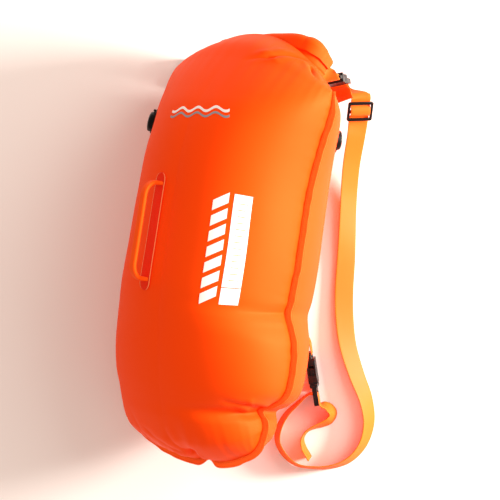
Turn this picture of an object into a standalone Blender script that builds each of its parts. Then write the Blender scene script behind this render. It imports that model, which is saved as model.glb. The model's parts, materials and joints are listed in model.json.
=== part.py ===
"""Open water swim buoy: two air chambers round a roll-top dry compartment.

The bag lies on its back chamber, rolled part way round its long axis, with a webbing
shoulder strap from the roll-top's right end to the lower right corner. Lengths are in
metres, +Y runs along the bag towards the roll-top and +Z is up. The origin is the
middle of the patch that the bag rests on.

The bag itself is described in its own frame (s, y, n): s runs across from the left
seam to the right seam, y runs along the bag, and n stands on the front panel.
"""
import math

import bmesh
import bpy
import numpy as np
from mathutils import Matrix, Vector

# Bag: overall sizes of the inflated body
BAG_LENGTH = 0.520
SEAM_HALF_WIDTH = 0.101
CHAMBER_HEIGHT = 0.117
AXIS_HEIGHT = 0.106
BAG_ROLL = math.radians(36)
SEAM_VALLEY_SHARE = 0.045
CLEARANCE = 0.0003
OVERRUN = 0.004

# Welded sheets between and round the chambers
FLANGE_THICKNESS = 0.0016
FLANGE_WIDTH = 0.008
FLANGE_INSET = 0.005
CHAMBER_PARTING = FLANGE_THICKNESS / 2 + CLEARANCE

# Roll-top closure
ROLL_WIDTH = 0.035
ROLL_PLY = 0.0016
ROLL_PITCH = 0.0025
ROLL_TURNS = 2.5
STIFFENER_WIDTH = 0.016
STIFFENER_THICKNESS = 0.0022
COLLAR_NECK_SHARE = 0.94

# Carry handle on the front chamber
HANDLE_ANGLE = math.radians(101.5)
HANDLE_BASE_LENGTH = 0.137
HANDLE_BASE_WIDTH = 0.018
HANDLE_BASE_THICKNESS = 0.0014
HANDLE_MIDDLE_Y = 0.009
GRIP_LENGTH = 0.116
GRIP_WIDTH = 0.0085
GRIP_THICKNESS = 0.005
GRIP_RISE = 0.0235
GRIP_CORNER = 0.016
GRIP_FOOT_SHARE = 0.5

# Webbing and what it passes through
WEBBING_WIDTH = 0.025
WEBBING_THICKNESS = 0.0014
SLOT_HALF_WIDTH = 0.0132

# Side-release buckle for this webbing
BUCKLE_HALF_WIDTH = 0.0165
BUCKLE_THICKNESS = 0.0115
SOCKET_LENGTH = 0.040
SOCKET_BAR = 0.0036
SOCKET_SLOT = 0.0046
SOCKET_FRAME_THICKNESS = 0.005
CAVITY_DEPTH = 0.0285
CAVITY_HALF_WIDTH = 0.0136
CAVITY_HEIGHT = 0.0068
WINDOW_START = 0.0175
WINDOW_END = 0.030
PLUG_SHOULDER = 0.0102
PLUG_FRAME_THICKNESS = 0.006
LADDER_SLOT_1 = 0.006
LADDER_BAR = 0.0032
LADDER_SLOT_2 = 0.005
END_BAR = 0.0036
TONGUE_LENGTH = 0.025
TONGUE_HALF_WIDTH = 0.003
TONGUE_THICKNESS = 0.0048
ARM_THICKNESS = 0.0058
EDGE_ROUND = 0.0009

# Strap adjuster, a flat frame with one middle bar
ADJUSTER_LENGTH = 0.026
ADJUSTER_RAIL = 0.0035
ADJUSTER_BAR = 0.004
ADJUSTER_SIDE = 0.003
ADJUSTER_THICKNESS = 0.003

# Inflation valves: where they stand on their chambers, and one valve's sizes
FRONT_VALVE_ANGLE = math.radians(144)
FRONT_VALVE_Y = 0.139
BACK_VALVE_ANGLE = math.radians(44)
BACK_VALVE_Y = 0.151
VALVE_FLANGE_RADIUS = 0.0165
VALVE_FLANGE_THICKNESS = 0.0017
VALVE_FLANGE_SINK = 0.0012
VALVE_RIM_OUTER = 0.0103
VALVE_RIM_INNER = 0.0089
VALVE_RIM_HEIGHT = 0.0044
VALVE_NECK_OUTER = 0.0087
VALVE_NECK_BORE = 0.0072
VALVE_NECK_DEPTH = 0.0085
VALVE_SEAT_HEIGHT = 0.001
INSERT_HEAD_THICKNESS = 0.0011
INSERT_WALL = 0.0014
INSERT_LENGTH = 0.0088
INSERT_HOLE_RADIUS = 0.0014
INSERT_GRIP_HEIGHT = 0.0015
INSERT_GRIP_WIDTH = 0.002
STUD_RADIUS = 0.001
STUD_HEAD_RADIUS = 0.0018
FLAP_THICKNESS = 0.0006
CAP_WALL = 0.0014
CAP_TOP_THICKNESS = 0.003
HINGE_PIN_RADIUS = 0.0008
HINGE_KNUCKLE_WALL = 0.0006
HINGE_KNUCKLE_HALF_LENGTH = 0.0028
HINGE_EAR_WIDTH = 0.0018
HINGE_HEIGHT = 0.0026

# Strap anchor on the back chamber
ANCHOR_ANGLE = math.radians(72)
ANCHOR_LENGTH = 0.046
ANCHOR_WIDTH = 0.036
ANCHOR_Y = -0.064
PATCH_THICKNESS = 0.0012

# Each row: place along the bag, right and left seam half widths, front and back crown
# heights, how far the middle of the front and back ends runs past the seam point, and
# the seam's slant. Places and bows are shares of BAG_LENGTH, widths of
# SEAM_HALF_WIDTH, heights of CHAMBER_HEIGHT.
SECTION_SHARES = [
    (-0.412, 0.861, 1.040, 0.000, 0.000, -0.077, -0.077, 0.000),
    (-0.408, 0.871, 1.050, 0.222, 0.222, -0.071, -0.071, 0.000),
    (-0.396, 0.881, 1.059, 0.444, 0.462, -0.058, -0.058, 0.000),
    (-0.385, 0.886, 1.059, 0.547, 0.615, -0.046, -0.046, 0.000),
    (-0.365, 0.851, 1.074, 0.650, 0.735, -0.029, -0.029, 0.000),
    (-0.346, 0.782, 1.099, 0.709, 0.786, -0.017, -0.017, 0.000),
    (-0.329, 0.960, 1.124, 0.752, 0.803, -0.011, -0.011, 0.000),
    (-0.300, 1.109, 1.163, 0.812, 0.829, -0.004, -0.004, 0.000),
    (-0.250, 1.139, 1.178, 0.880, 0.846, 0.000, 0.000, 0.000),
    (-0.188, 1.109, 1.168, 0.932, 0.872, 0.000, 0.000, 0.000),
    (-0.150, 1.020, 1.149, 0.966, 0.923, 0.000, 0.000, 0.000),
    (-0.123, 0.960, 1.144, 0.983, 0.966, 0.000, 0.000, 0.000),
    (-0.085, 0.980, 1.129, 1.000, 0.991, 0.000, 0.000, 0.000),
    (0.000, 1.000, 1.104, 1.000, 0.991, 0.000, 0.000, 0.000),
    (0.115, 1.000, 1.074, 1.000, 0.966, 0.000, 0.000, 0.000),
    (0.192, 1.025, 1.050, 0.991, 0.923, 0.000, 0.000, 0.000),
    (0.260, 1.079, 1.025, 0.940, 0.838, 0.000, 0.000, 0.000),
    (0.308, 1.129, 1.050, 0.855, 0.769, 0.002, 0.000, 0.000),
    (0.342, 1.158, 1.084, 0.735, 0.675, 0.008, 0.000, -0.005),
    (0.365, 1.163, 1.129, 0.598, 0.530, 0.025, 0.006, -0.020),
    (0.381, 1.158, 1.168, 0.444, 0.359, 0.050, 0.012, -0.030),
    (0.389, 1.153, 1.198, 0.274, 0.205, 0.085, 0.015, -0.032),
    (0.393, 1.149, 1.218, 0.000, 0.000, 0.114, 0.017, -0.035),
]
RINGS = 36
ARC_POINTS = 21

# The roll's middle line in the bag's frame, as shares of SEAM_HALF_WIDTH, BAG_LENGTH
# and CHAMBER_HEIGHT, and how far its flat side is turned to the right, in degrees
ROLL_PATH_SHARES = [
    (-0.718, 0.4346, -0.308, -78),
    (-0.708, 0.4442, -0.248, -70),
    (-0.683, 0.4538, -0.192, -57),
    (-0.639, 0.4606, -0.145, -40),
    (-0.574, 0.4644, -0.114, -20),
    (-0.455, 0.4663, -0.101, -6),
    (-0.248, 0.4740, -0.098, 0),
    (0.000, 0.4788, -0.098, 0),
    (0.248, 0.4827, -0.098, 0),
    (0.455, 0.4827, -0.101, 6),
    (0.574, 0.4788, -0.114, 20),
    (0.639, 0.4721, -0.145, 40),
    (0.683, 0.4635, -0.192, 57),
    (0.708, 0.4538, -0.248, 70),
    (0.718, 0.4442, -0.308, 78),
]
ROLL_STATIONS = 17

# Where the loose hardware lies, as shares of BAG_LENGTH from the origin
UPPER_BUCKLE_SHARES = (0.1721, 0.4260, 0.2163)
LOWER_BUCKLE_SHARES = (0.2304, -0.2160, 0.0327)
ADJUSTER_SHARES = (0.2612, 0.3742, 0.1058)
FREE_SOCKET_SHARES = (-0.1000, 0.4067, 0.0135)

# The ways along and across each of them
UPPER_BUCKLE_WAYS = ((0.22, 0.06, -0.974), (0.93, 0.32, 0.20))
LOWER_BUCKLE_WAYS = ((0.291, -0.957, 0), (-0.09, -0.03, 0.995))
ADJUSTER_WAYS = ((0.06, -0.84, -0.54), (0.96, 0.06, -0.28))
FREE_SOCKET_WAYS = ((-0.98, 0.17, 0), (-0.17, -0.98, 0))

# Strap between the upper buckle and the adjuster: places as shares of BAG_LENGTH, and
# the way across the webbing
STRAP_BRIDGE_SHARES = [
    ((0.2125, 0.4260, 0.0837), (0.9, 0.36, 0.1)),
    ((0.2298, 0.4173, 0.0923), (0.9, 0.36, 0)),
    ((0.2452, 0.4106, 0.1077), (0.92, 0.3, -0.15)),
]
UPPER_TAIL_ASIDE_SHARE = 0.30
UPPER_TAIL_TURN = (-0.55, 0.83, 0)

# Strap from the adjuster down to the lower buckle: x and y as shares of BAG_LENGTH, how
# far the webbing leans in degrees, and how high it is held over the floor, as a share
# of BAG_LENGTH
STRAP_RUN_SHARES = [
    (0.2627, 0.3181, 22, 0.0640),
    (0.2635, 0.2500, 28, 0.0330),
    (0.2683, 0.1904, 30, 0.0130),
    (0.2742, 0.1350, 30, 0.0040),
    (0.2819, 0.0692, 24, 0.0006),
    (0.2873, 0.0179, 18, 0.0000),
    (0.2942, -0.0596, 16, 0.0000),
    (0.3050, -0.1250, 20, 0.0000),
    (0.3231, -0.1904, 27, 0.0000),
    (0.3538, -0.2558, 35, 0.0000),
    (0.3860, -0.3150, 44, 0.0000),
    (0.4010, -0.3700, 52, 0.0000),
    (0.3931, -0.4250, 60, 0.0000),
    (0.3650, -0.4660, 66, 0.0000),
    (0.3250, -0.4881, 72, 0.0000),
    (0.2788, -0.4969, 76, 0.0000),
    (0.2381, -0.4950, 76, 0.0000),
    (0.2050, -0.4740, 74, 0.0000),
    (0.1850, -0.4431, 76, 0.0000),
    (0.1860, -0.4069, 78, 0.0000),
    (0.2000, -0.3731, 82, 0.0010),
    (0.2192, -0.3481, 86, 0.0040),
]
# Loose tail past the lower buckle, in the same terms
STRAP_TAIL_SHARES = [
    (0.2904, -0.3433, 70, 0.0070),
    (0.3029, -0.3490, 66, 0.0045),
    (0.3096, -0.3606, 62, 0.0020),
    (0.3054, -0.3760, 64, 0.0005),
    (0.2904, -0.3875, 68, 0.0000),
    (0.2712, -0.3977, 74, 0.0000),
    (0.2538, -0.4106, 78, 0.0000),
    (0.2452, -0.4308, 78, 0.0000),
    (0.2519, -0.4519, 76, 0.0000),
    (0.2635, -0.4673, 76, 0.0000),
]
STRAP_STEP = 0.0085
UPPER_TAIL_LENGTH = 0.027

ORANGE = (1.0, 0.13, 0.02)
WELD_ORANGE = (0.95, 0.16, 0.03)
STRAP_ORANGE = (0.95, 0.33, 0.05)
BLACK = (0.02, 0.02, 0.022)
GREY = (0.25, 0.25, 0.26)


def collection(name):
    found = bpy.data.collections.get(name)
    if found is None:
        found = bpy.data.collections.new(name)
        bpy.context.scene.collection.children.link(found)
    return found


def material(name, colour, roughness, metallic=0.0):
    made = bpy.data.materials.new(name)
    made.use_nodes = True
    shader = made.node_tree.nodes["Principled BSDF"]
    shader.inputs["Base Color"].default_value = (*colour, 1.0)
    shader.inputs["Roughness"].default_value = roughness
    shader.inputs["Metallic"].default_value = metallic
    return made


def new_object(name, mesh, colour, roughness):
    made = bpy.data.objects.new(name, mesh)
    collection("swim_buoy").objects.link(made)
    mesh.materials.clear()
    mesh.materials.append(material(name + "_finish", colour, roughness))
    return made


def as_cutter(piece):
    """Turn a made piece into a hidden guide that only cuts or adds to another."""
    collection("swim_buoy").objects.unlink(piece)
    collection("cutters").objects.link(piece)
    piece.hide_render = True
    piece.display_type = "WIRE"
    return piece


def combine(piece, guide, operation="DIFFERENCE"):
    boolean = piece.modifiers.new(guide.name, "BOOLEAN")
    boolean.operation = operation
    boolean.solver = "EXACT"
    boolean.object = as_cutter(guide)
    return piece


def shade(mesh):
    mesh.shade_smooth()
    mesh.set_sharp_from_angle(angle=math.radians(40))


def loft(name, rings, colour, roughness=0.5):
    """Closed body through rings of equal point count, with a face on each end."""
    rings = np.asarray(rings)
    count, around = rings.shape[:2]
    made = bmesh.new()
    points = [[made.verts.new(p) for p in ring] for ring in rings]
    for k in range(count - 1):
        for i in range(around):
            j = (i + 1) % around
            made.faces.new((points[k][i], points[k][j], points[k + 1][j], points[k + 1][i]))
    made.faces.new(points[0])
    made.faces.new(points[-1])
    bmesh.ops.recalc_face_normals(made, faces=made.faces)
    mesh = bpy.data.meshes.new(name)
    made.to_mesh(mesh)
    made.free()
    shade(mesh)
    return new_object(name, mesh, colour, roughness)


def slab(name, lower, upper, colour, roughness=0.5):
    """Sheet between two grids of points, lofted row by row."""
    rings = [np.vstack([a, b[::-1]]) for a, b in zip(lower, upper)]
    return loft(name, rings, colour, roughness)


def box(name, low, high, colour=BLACK, rounded=0.0):
    made = bmesh.new()
    bmesh.ops.create_cube(made, size=1.0)
    low, high = Vector(low), Vector(high)
    size = high - low
    bmesh.ops.scale(made, vec=size, verts=made.verts)
    bmesh.ops.translate(made, vec=(low + high) / 2, verts=made.verts)
    mesh = bpy.data.meshes.new(name)
    made.to_mesh(mesh)
    made.free()
    piece = new_object(name, mesh, colour, 0.4)
    if rounded:
        bevel(piece, rounded)
    return piece


def bevel(piece, width, segments=1):
    edges = piece.modifiers.new("rounded edges", "BEVEL")
    edges.width = width
    edges.segments = segments
    edges.limit_method = "ANGLE"
    edges.angle_limit = math.radians(50)
    return piece


def cylinder(name, radius, start, end, segments=16, colour=BLACK):
    start, end = Vector(start), Vector(end)
    made = bmesh.new()
    along = end - start
    turn = along.to_track_quat("Z", "Y").to_matrix().to_4x4()
    place = Matrix.Translation((start + end) / 2) @ turn
    bmesh.ops.create_cone(made, cap_ends=True, segments=segments, radius1=radius,
                          radius2=radius, depth=along.length, matrix=place)
    mesh = bpy.data.meshes.new(name)
    made.to_mesh(mesh)
    made.free()
    shade(mesh)
    return new_object(name, mesh, colour, 0.4)


def plate(name, outline, thickness, colour=BLACK, rounded=EDGE_ROUND):
    """Flat outline in X and Y with a thickness along Z, its long edges rounded."""
    curve = bpy.data.curves.new(name + "_outline", "CURVE")
    curve.dimensions = "2D"
    curve.fill_mode = "BOTH"
    curve.extrude = thickness / 2
    line = curve.splines.new("POLY")
    line.points.add(len(outline) - 1)
    for point, (x, y) in zip(line.points, outline):
        point.co = (x, y, 0, 1)
    line.use_cyclic_u = True
    drawn = bpy.data.objects.new(name + "_outline", curve)
    bpy.context.scene.collection.objects.link(drawn)
    bpy.context.view_layer.update()
    ready = drawn.evaluated_get(bpy.context.evaluated_depsgraph_get())
    mesh = bpy.data.meshes.new_from_object(ready)
    bpy.data.objects.remove(drawn)
    made = bmesh.new()
    made.from_mesh(mesh)
    bmesh.ops.remove_doubles(made, verts=made.verts, dist=thickness / 1000)
    bmesh.ops.recalc_face_normals(made, faces=made.faces)
    made.to_mesh(mesh)
    made.free()
    mesh.name = name
    piece = new_object(name, mesh, colour, 0.4)
    if rounded:
        bevel(piece, rounded)
    return piece


def turned(name, profile, segments, colour=BLACK, closed=False):
    """Body turned about Z from points (radius, height), down its outer side."""
    mesh = bpy.data.meshes.new(name)
    edges = [(i, i + 1) for i in range(len(profile) - 1)]
    if closed:
        edges.append((len(profile) - 1, 0))
    mesh.from_pydata([(r, 0, z) for r, z in profile], edges, [])
    piece = new_object(name, mesh, colour, 0.4)
    screw = piece.modifiers.new("turning", "SCREW")
    screw.axis = "Z"
    screw.steps = segments
    screw.render_steps = segments
    screw.use_merge_vertices = True
    screw.merge_threshold = 0.00001
    screw.use_smooth_shade = True
    return piece


def catmull(rows, places):
    """Values of a smooth curve through rows at fractional row numbers."""
    rows = np.asarray(rows, dtype=float)
    padded = np.vstack([2 * rows[0] - rows[1], rows, 2 * rows[-1] - rows[-2]])
    k = np.clip(np.floor(places).astype(int), 0, len(rows) - 2)
    t = (np.asarray(places) - k)[:, None]
    p0, p1, p2, p3 = (padded[k + i] for i in range(4))
    return 0.5 * (2 * p1 + (p2 - p0) * t + (2 * p0 - 5 * p1 + 4 * p2 - p3) * t ** 2
                  + (3 * p1 - p0 - 3 * p2 + p3) * t ** 3)


def bag_rows():
    """The section table in metres, at every ring of a chamber."""
    table = np.array(SECTION_SHARES)
    scale = [BAG_LENGTH, SEAM_HALF_WIDTH, SEAM_HALF_WIDTH, CHAMBER_HEIGHT,
             CHAMBER_HEIGHT, BAG_LENGTH, BAG_LENGTH, 1]
    rows = catmull(table * scale, np.linspace(0, len(table) - 1, RINGS))
    rows[:, 3:5] = np.maximum(rows[:, 3:5], 0)
    return rows


def arc(row, angles, back):
    """Points of a chamber's outer wall in one section, seam to seam.

    The wall is a half ellipse on the seam's half widths and the crown's height, fuller
    at the quarter points so that it dips towards the seams. Angle 0 is the right seam.
    The roll-top's end bows out as the squared sine, the other end as the sine.
    """
    y, right, left, front_height, back_height, front_bow, back_bow, slant = row
    height = back_height if back else front_height
    bow = back_bow if back else front_bow
    seam = np.where(np.cos(angles) > 0, right, left)
    full = 1 + SEAM_VALLEY_SHARE * height / CHAMBER_HEIGHT * np.abs(np.sin(2 * angles))
    s = seam * np.cos(angles) * full
    n = CHAMBER_PARTING + height * np.sin(angles) * full
    rise = np.sin(angles)
    along = y + slant * s + bow * (rise * rise if y > 0 else rise)
    return np.stack([s, along, -n if back else n], axis=-1)


def on_floor(points):
    """Flatten what would reach under the floor, in the bag's frame."""
    up = np.array([math.sin(BAG_ROLL), 0, math.cos(BAG_ROLL)])
    height = AXIS_HEIGHT + points @ up
    return points + np.maximum(-height, 0)[..., None] * up


def surface(rows, angle, y, back=False, lift=0.0):
    """Point on a chamber's wall, lifted along the wall's own normal, and that normal."""
    def at(a, along):
        row = [np.interp(along, rows[:, 0], column) for column in rows.T]
        return arc(row, np.array(a), back)

    step_angle, step_y = 0.01, BAG_LENGTH / 500
    here = at(angle, y)
    across = at(angle + step_angle, y) - at(angle - step_angle, y)
    along = at(angle, y + step_y) - at(angle, y - step_y)
    normal = np.cross(along, across)
    normal *= (-1 if back else 1) / np.linalg.norm(normal)
    return here + lift * normal, normal


def bag_matrix():
    return Matrix.Translation((0, 0, AXIS_HEIGHT)) @ Matrix.Rotation(-BAG_ROLL, 4, "Y")


def to_world(point):
    return np.array(bag_matrix() @ Vector(point))


def world_direction(direction):
    return np.array(bag_matrix().to_3x3() @ Vector(direction))


def make_bag_axis():
    axis = bpy.data.objects.new("bag_axis", None)
    collection("swim_buoy").objects.link(axis)
    axis.matrix_world = bag_matrix()
    return axis


def make_chamber(name, rows, back):
    angles = np.linspace(0, math.pi, ARC_POINTS)
    rings = [on_floor(arc(row, angles, back)) for row in rows]
    return loft(name, rings, ORANGE, 0.45)


def seam_line(rows):
    """Seam points from the top right corner round the bottom to the top left one, with
    the way outwards at each."""
    right = [((row[1], row[0] + row[7] * row[1]), (1.0, 0.0)) for row in rows[::-1]]
    y, bow = rows[0][0], rows[0][5]
    turns = np.linspace(0, math.pi, 25)[1:-1]
    bottom = [((half_width(rows[0], a) * math.cos(a), y + bow * math.sin(a)),
               (math.cos(a), -math.sin(a))) for a in turns]
    left = [((-row[2], row[0] - row[7] * row[2]), (-1.0, 0.0)) for row in rows]
    line = right + bottom + left
    return np.array([p for p, _ in line]), np.array([d for _, d in line])


def half_width(row, angle):
    return row[1] if math.cos(angle) > 0 else row[2]


def make_flange(rows):
    points, ways = seam_line(rows)
    inner = points - FLANGE_INSET * ways
    outer = points + FLANGE_WIDTH * ways
    half = FLANGE_THICKNESS / 2
    rings = [[(*a, -half), (*b, -half), (*b, half), (*a, half)]
             for a, b in zip(inner, outer)]
    return loft("seam_flange", rings, WELD_ORANGE, 0.4)


def liner_rows(rows):
    """Left and right edges of the dry compartment's sheet, bottom to top."""
    inset = FLANGE_INSET + 2 * CLEARANCE
    y, right, left, bow = rows[0][0], rows[0][1] - inset, rows[0][2] - inset, rows[0][5]
    edges = []
    for a in np.linspace(math.radians(80), math.radians(12), 8):
        along = y + (bow + inset) * math.sin(a)
        edges.append(((-left * math.cos(a), along), (right * math.cos(a), along)))
    for row in rows[:-1]:
        right, left = row[1] - inset, row[2] - inset
        edges.append(((-left, row[0] - row[7] * left), (right, row[0] + row[7] * right)))
    return np.array(edges)


def make_liner(edges):
    half = FLANGE_THICKNESS / 2
    rings = [[(*a, -half), (*b, -half), (*b, half), (*a, half)] for a, b in edges]
    return loft("dry_compartment_liner", rings, ORANGE, 0.5)


def roll_frames():
    """Places of the roll's middle line, with the ways along, outwards and to the front."""
    scale = [SEAM_HALF_WIDTH, BAG_LENGTH, CHAMBER_HEIGHT, math.radians(1)]
    shares = np.array(ROLL_PATH_SHARES)
    table = catmull(shares * scale, np.linspace(0, len(shares) - 1, ROLL_STATIONS))
    line, turn = table[:, :3], table[:, 3]
    along = np.gradient(line, axis=0)
    along /= np.linalg.norm(along, axis=1)[:, None]
    front = np.stack([np.sin(turn), 0 * turn, np.cos(turn)], axis=1)
    front -= np.sum(front * along, axis=1)[:, None] * along
    front /= np.linalg.norm(front, axis=1)[:, None]
    outwards = np.cross(front, along)
    return line, along, outwards, front


def roll_half():
    """Straight half length of the roll's section and its outermost radius."""
    outer = roll_radius(2 * math.pi * ROLL_TURNS)
    return (ROLL_WIDTH - 2 * outer - ROLL_PLY) / 2, outer


def roll_radius(turned_by):
    first = STIFFENER_THICKNESS / 2 + 4 * CLEARANCE + ROLL_PLY / 2
    return first + ROLL_PITCH * turned_by / (2 * math.pi)


def roll_section():
    """Flat spiral of one ply: outer side from the core out, then back along the inner.

    The spiral's radius grows steadily with the angle turned, about two centres that
    stand a straight run apart.
    """
    half, _ = roll_half()
    last = 2 * math.pi * ROLL_TURNS
    middle = []
    for turned_by in np.linspace(0, last, int(ROLL_TURNS * 10) + 1):
        angle = math.pi / 2 + turned_by - last
        radius = roll_radius(turned_by)
        side = math.cos(angle)
        ends = [-1, 1] if math.sin(angle) < 0 else [1, -1]
        sides = ends if abs(side) < 0.0001 else [math.copysign(1, side)]
        for sign in sides:
            middle.append((sign * half, radius, side if abs(side) > 0.0001 else 0.0,
                           math.sin(angle)))
    middle = np.array(middle)
    rings = []
    for offset in (ROLL_PLY / 2, -ROLL_PLY / 2):
        reach = middle[:, 1] + offset
        rings.append(np.stack([middle[:, 0] + reach * middle[:, 2],
                               reach * middle[:, 3]], axis=1))
    return np.vstack([rings[0], rings[1][::-1]])


def make_roll(frames):
    section = roll_section()
    rings = [p + section[:, :1] * out + section[:, 1:] * front
             for p, _, out, front in zip(*frames)]
    return loft("roll_top_roll", rings, ORANGE, 0.45)


def make_stiffener(frames):
    half_w, half_t = STIFFENER_WIDTH / 2, STIFFENER_THICKNESS / 2
    corners = [(-half_w, -half_t), (half_w, -half_t), (half_w, half_t), (-half_w, half_t)]
    rings = [[p + a * out + b * front for a, b in corners]
             for p, _, out, front in zip(*frames)]
    return loft("roll_top_stiffener", rings, BLACK, 0.6)


def make_collar(edges, frames, rows):
    """Flattened mouth of the bag, from the liner's top edge up to the roll's first ply."""
    half, outer = roll_half()
    ply = ROLL_PLY / 2
    left, right = edges[-1]
    rim = arc(rows[-1], np.linspace(0, math.pi, ARC_POINTS), True)[::-1]
    plane = np.array([0, 0, 1.0])
    lower, upper = [], []
    steps = np.linspace(0, 1, ROLL_STATIONS)
    for t, p, out, front in zip(steps, frames[0], frames[2], frames[3]):
        s, y = left + (right - left) * t
        start = np.array([s, y + CLEARANCE, 0])
        clear = np.interp(s * COLLAR_NECK_SHARE, rim[:, 0], rim[:, 1])
        past = np.array([s * COLLAR_NECK_SHARE, max(clear, y) + FLANGE_THICKNESS, 0])
        near = p - out * (half + 2 * ROLL_PITCH) + front * outer
        meet = p - out * (half + CLEARANCE) + front * outer
        bend = plane + front
        bend /= np.linalg.norm(bend)
        line = [(start, plane), (past, plane), ((past + near) / 2, bend), (near, front),
                (meet, front)]
        lower.append([q - ply * way for q, way in line])
        upper.append([q + ply * way for q, way in line])
    return slab("roll_top_collar", lower, upper, ORANGE, 0.5)


def rounded_patch(name, rows, angle, middle_y, length, width, thickness, back, colour):
    """Thin patch that follows a chamber's wall, with round ends."""
    lower, upper = [], []
    half_length, half_width = length / 2, width / 2
    lift = 2 * CLEARANCE
    for t in np.sin(np.linspace(-1, 1, 17) * math.pi / 2):
        past = (abs(t) * half_length - (half_length - half_width)) / half_width
        past = min(max(past, 0), 1)
        reach = half_width * max(math.sqrt(1 - past ** 2), 0.25)
        ring_low, ring_high = [], []
        for share in np.linspace(-1, 1, 5):
            at = angle + share * reach / CHAMBER_HEIGHT
            y = middle_y + t * half_length
            ring_low.append(surface(rows, at, y, back, lift)[0])
            ring_high.append(surface(rows, at, y, back, lift + thickness)[0])
        lower.append(ring_low)
        upper.append(ring_high)
    return slab(name, lower, upper, colour, 0.4)


def make_grip(rows):
    """D-shaped grip: two feet on the base, round corners and a straight hand bar."""
    base = 3 * CLEARANCE + HANDLE_BASE_THICKNESS
    half, thick = GRIP_LENGTH / 2 - GRIP_THICKNESS / 2, GRIP_THICKNESS / 2
    top = GRIP_RISE - thick
    side = [(0.0, 0.0)] + [(0.0, top - GRIP_CORNER)]
    side += [(GRIP_CORNER * (1 - math.cos(a)), top - GRIP_CORNER * (1 - math.sin(a)))
             for a in np.linspace(0, math.pi / 2, 7)[1:]]
    path = [(d - half, h) for d, h in side]
    path += [(0.0, top)] + [(half - d, h) for d, h in side[::-1]]
    path = np.array(path)
    ways = np.gradient(path, axis=0)
    ways[0], ways[-1] = (0, 1), (0, -1)
    ways /= np.linalg.norm(ways, axis=1)[:, None]
    rings = []
    for (d, h), (along, up) in zip(path, ways):
        foot = 1 + GRIP_FOOT_SHARE * (1 - min(h / (top - GRIP_CORNER), 1))
        point, normal = surface(rows, HANDLE_ANGLE, HANDLE_MIDDLE_Y + d)
        across = np.cross(normal, (0, 1.0, 0))
        across /= np.linalg.norm(across)
        lengthwise = np.cross(across, normal)
        inwards = -up * lengthwise + along * normal
        half_w, half_t = GRIP_WIDTH / 2 * foot, thick
        cut = thick / 2
        outline = [(-half_w, -half_t + cut), (-half_w + cut, -half_t),
                   (half_w - cut, -half_t), (half_w, -half_t + cut),
                   (half_w, half_t - cut), (half_w - cut, half_t),
                   (-half_w + cut, half_t), (-half_w, half_t - cut)]
        middle = point + (base + h) * normal
        rings.append([middle + a * across + b * inwards for a, b in outline])
    return loft("handle_grip", rings, ORANGE, 0.45)


def frame_at(origin, along, across):
    """Placing matrix: local X along the piece, local Y across it, local Z its normal."""
    x = Vector(along).normalized()
    y = Vector(across)
    y = (y - x * y.dot(x)).normalized()
    z = x.cross(y)
    turn = Matrix((x, y, z)).transposed().to_4x4()
    return Matrix.Translation(Vector(origin)) @ turn


def place(pieces, matrix):
    for piece in pieces:
        piece.matrix_world = matrix


def hang(piece, name, matrix):
    """Give a moving piece and its guides a parent empty on the joint's axis."""
    axis = bpy.data.objects.new(name, None)
    collection("swim_buoy").objects.link(axis)
    axis.matrix_world = matrix
    for part in parts_of(piece):
        part.parent = axis
        part.matrix_parent_inverse = matrix.inverted()


def parts_of(piece):
    """A piece and every guide that its booleans use."""
    found = [piece]
    for modifier in piece.modifiers:
        if modifier.type == "BOOLEAN":
            found += parts_of(modifier.object)
    return found


def round_bar(piece, name, middle, radius):
    """Join a round crossbar between the side rails of a buckle's frame."""
    reach = SLOT_HALF_WIDTH + radius / 2
    bar = cylinder(name, radius, (middle, -reach, 0), (middle, reach, 0), 12)
    combine(piece, bar, "UNION")


def make_socket(name):
    """Buckle half with the cavity: a webbing bar, a hollow housing and side windows."""
    half, length = BUCKLE_HALF_WIDTH, SOCKET_LENGTH
    frame_end = SOCKET_BAR + SOCKET_SLOT
    waist = half * 0.93
    side = [(frame_end, half * 0.97), (length * 0.33, half), (length * 0.5, waist),
            (length * 0.75, waist), (length * 0.92, half), (length, half)]
    outline = side + [(x, -y) for x, y in side[::-1]]
    housing = plate(name, outline, BUCKLE_THICKNESS)
    corner = SOCKET_BAR / 2
    frame = [(0, half * 0.88 - corner), (corner, half * 0.88),
             (frame_end + OVERRUN / 2, half * 0.95)]
    frame = frame + [(x, -y) for x, y in frame[::-1]]
    combine(housing, plate(name + "_bar_frame", frame, SOCKET_FRAME_THICKNESS), "UNION")
    slot = box(name + "_slot_cut", (-OVERRUN, -SLOT_HALF_WIDTH, -BUCKLE_THICKNESS),
               (frame_end, SLOT_HALF_WIDTH, BUCKLE_THICKNESS))
    combine(housing, slot)
    round_bar(housing, name + "_bar", SOCKET_BAR / 2, SOCKET_BAR / 2)
    cavity = box(name + "_cavity_cut",
                 (length - CAVITY_DEPTH, -CAVITY_HALF_WIDTH, -CAVITY_HEIGHT / 2),
                 (length + OVERRUN, CAVITY_HALF_WIDTH, CAVITY_HEIGHT / 2))
    combine(housing, cavity)
    window = box(name + "_window_cut", (WINDOW_START, -2 * half, -CAVITY_HEIGHT / 2),
                 (WINDOW_END, 2 * half, CAVITY_HEIGHT / 2))
    return combine(housing, window)


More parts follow.
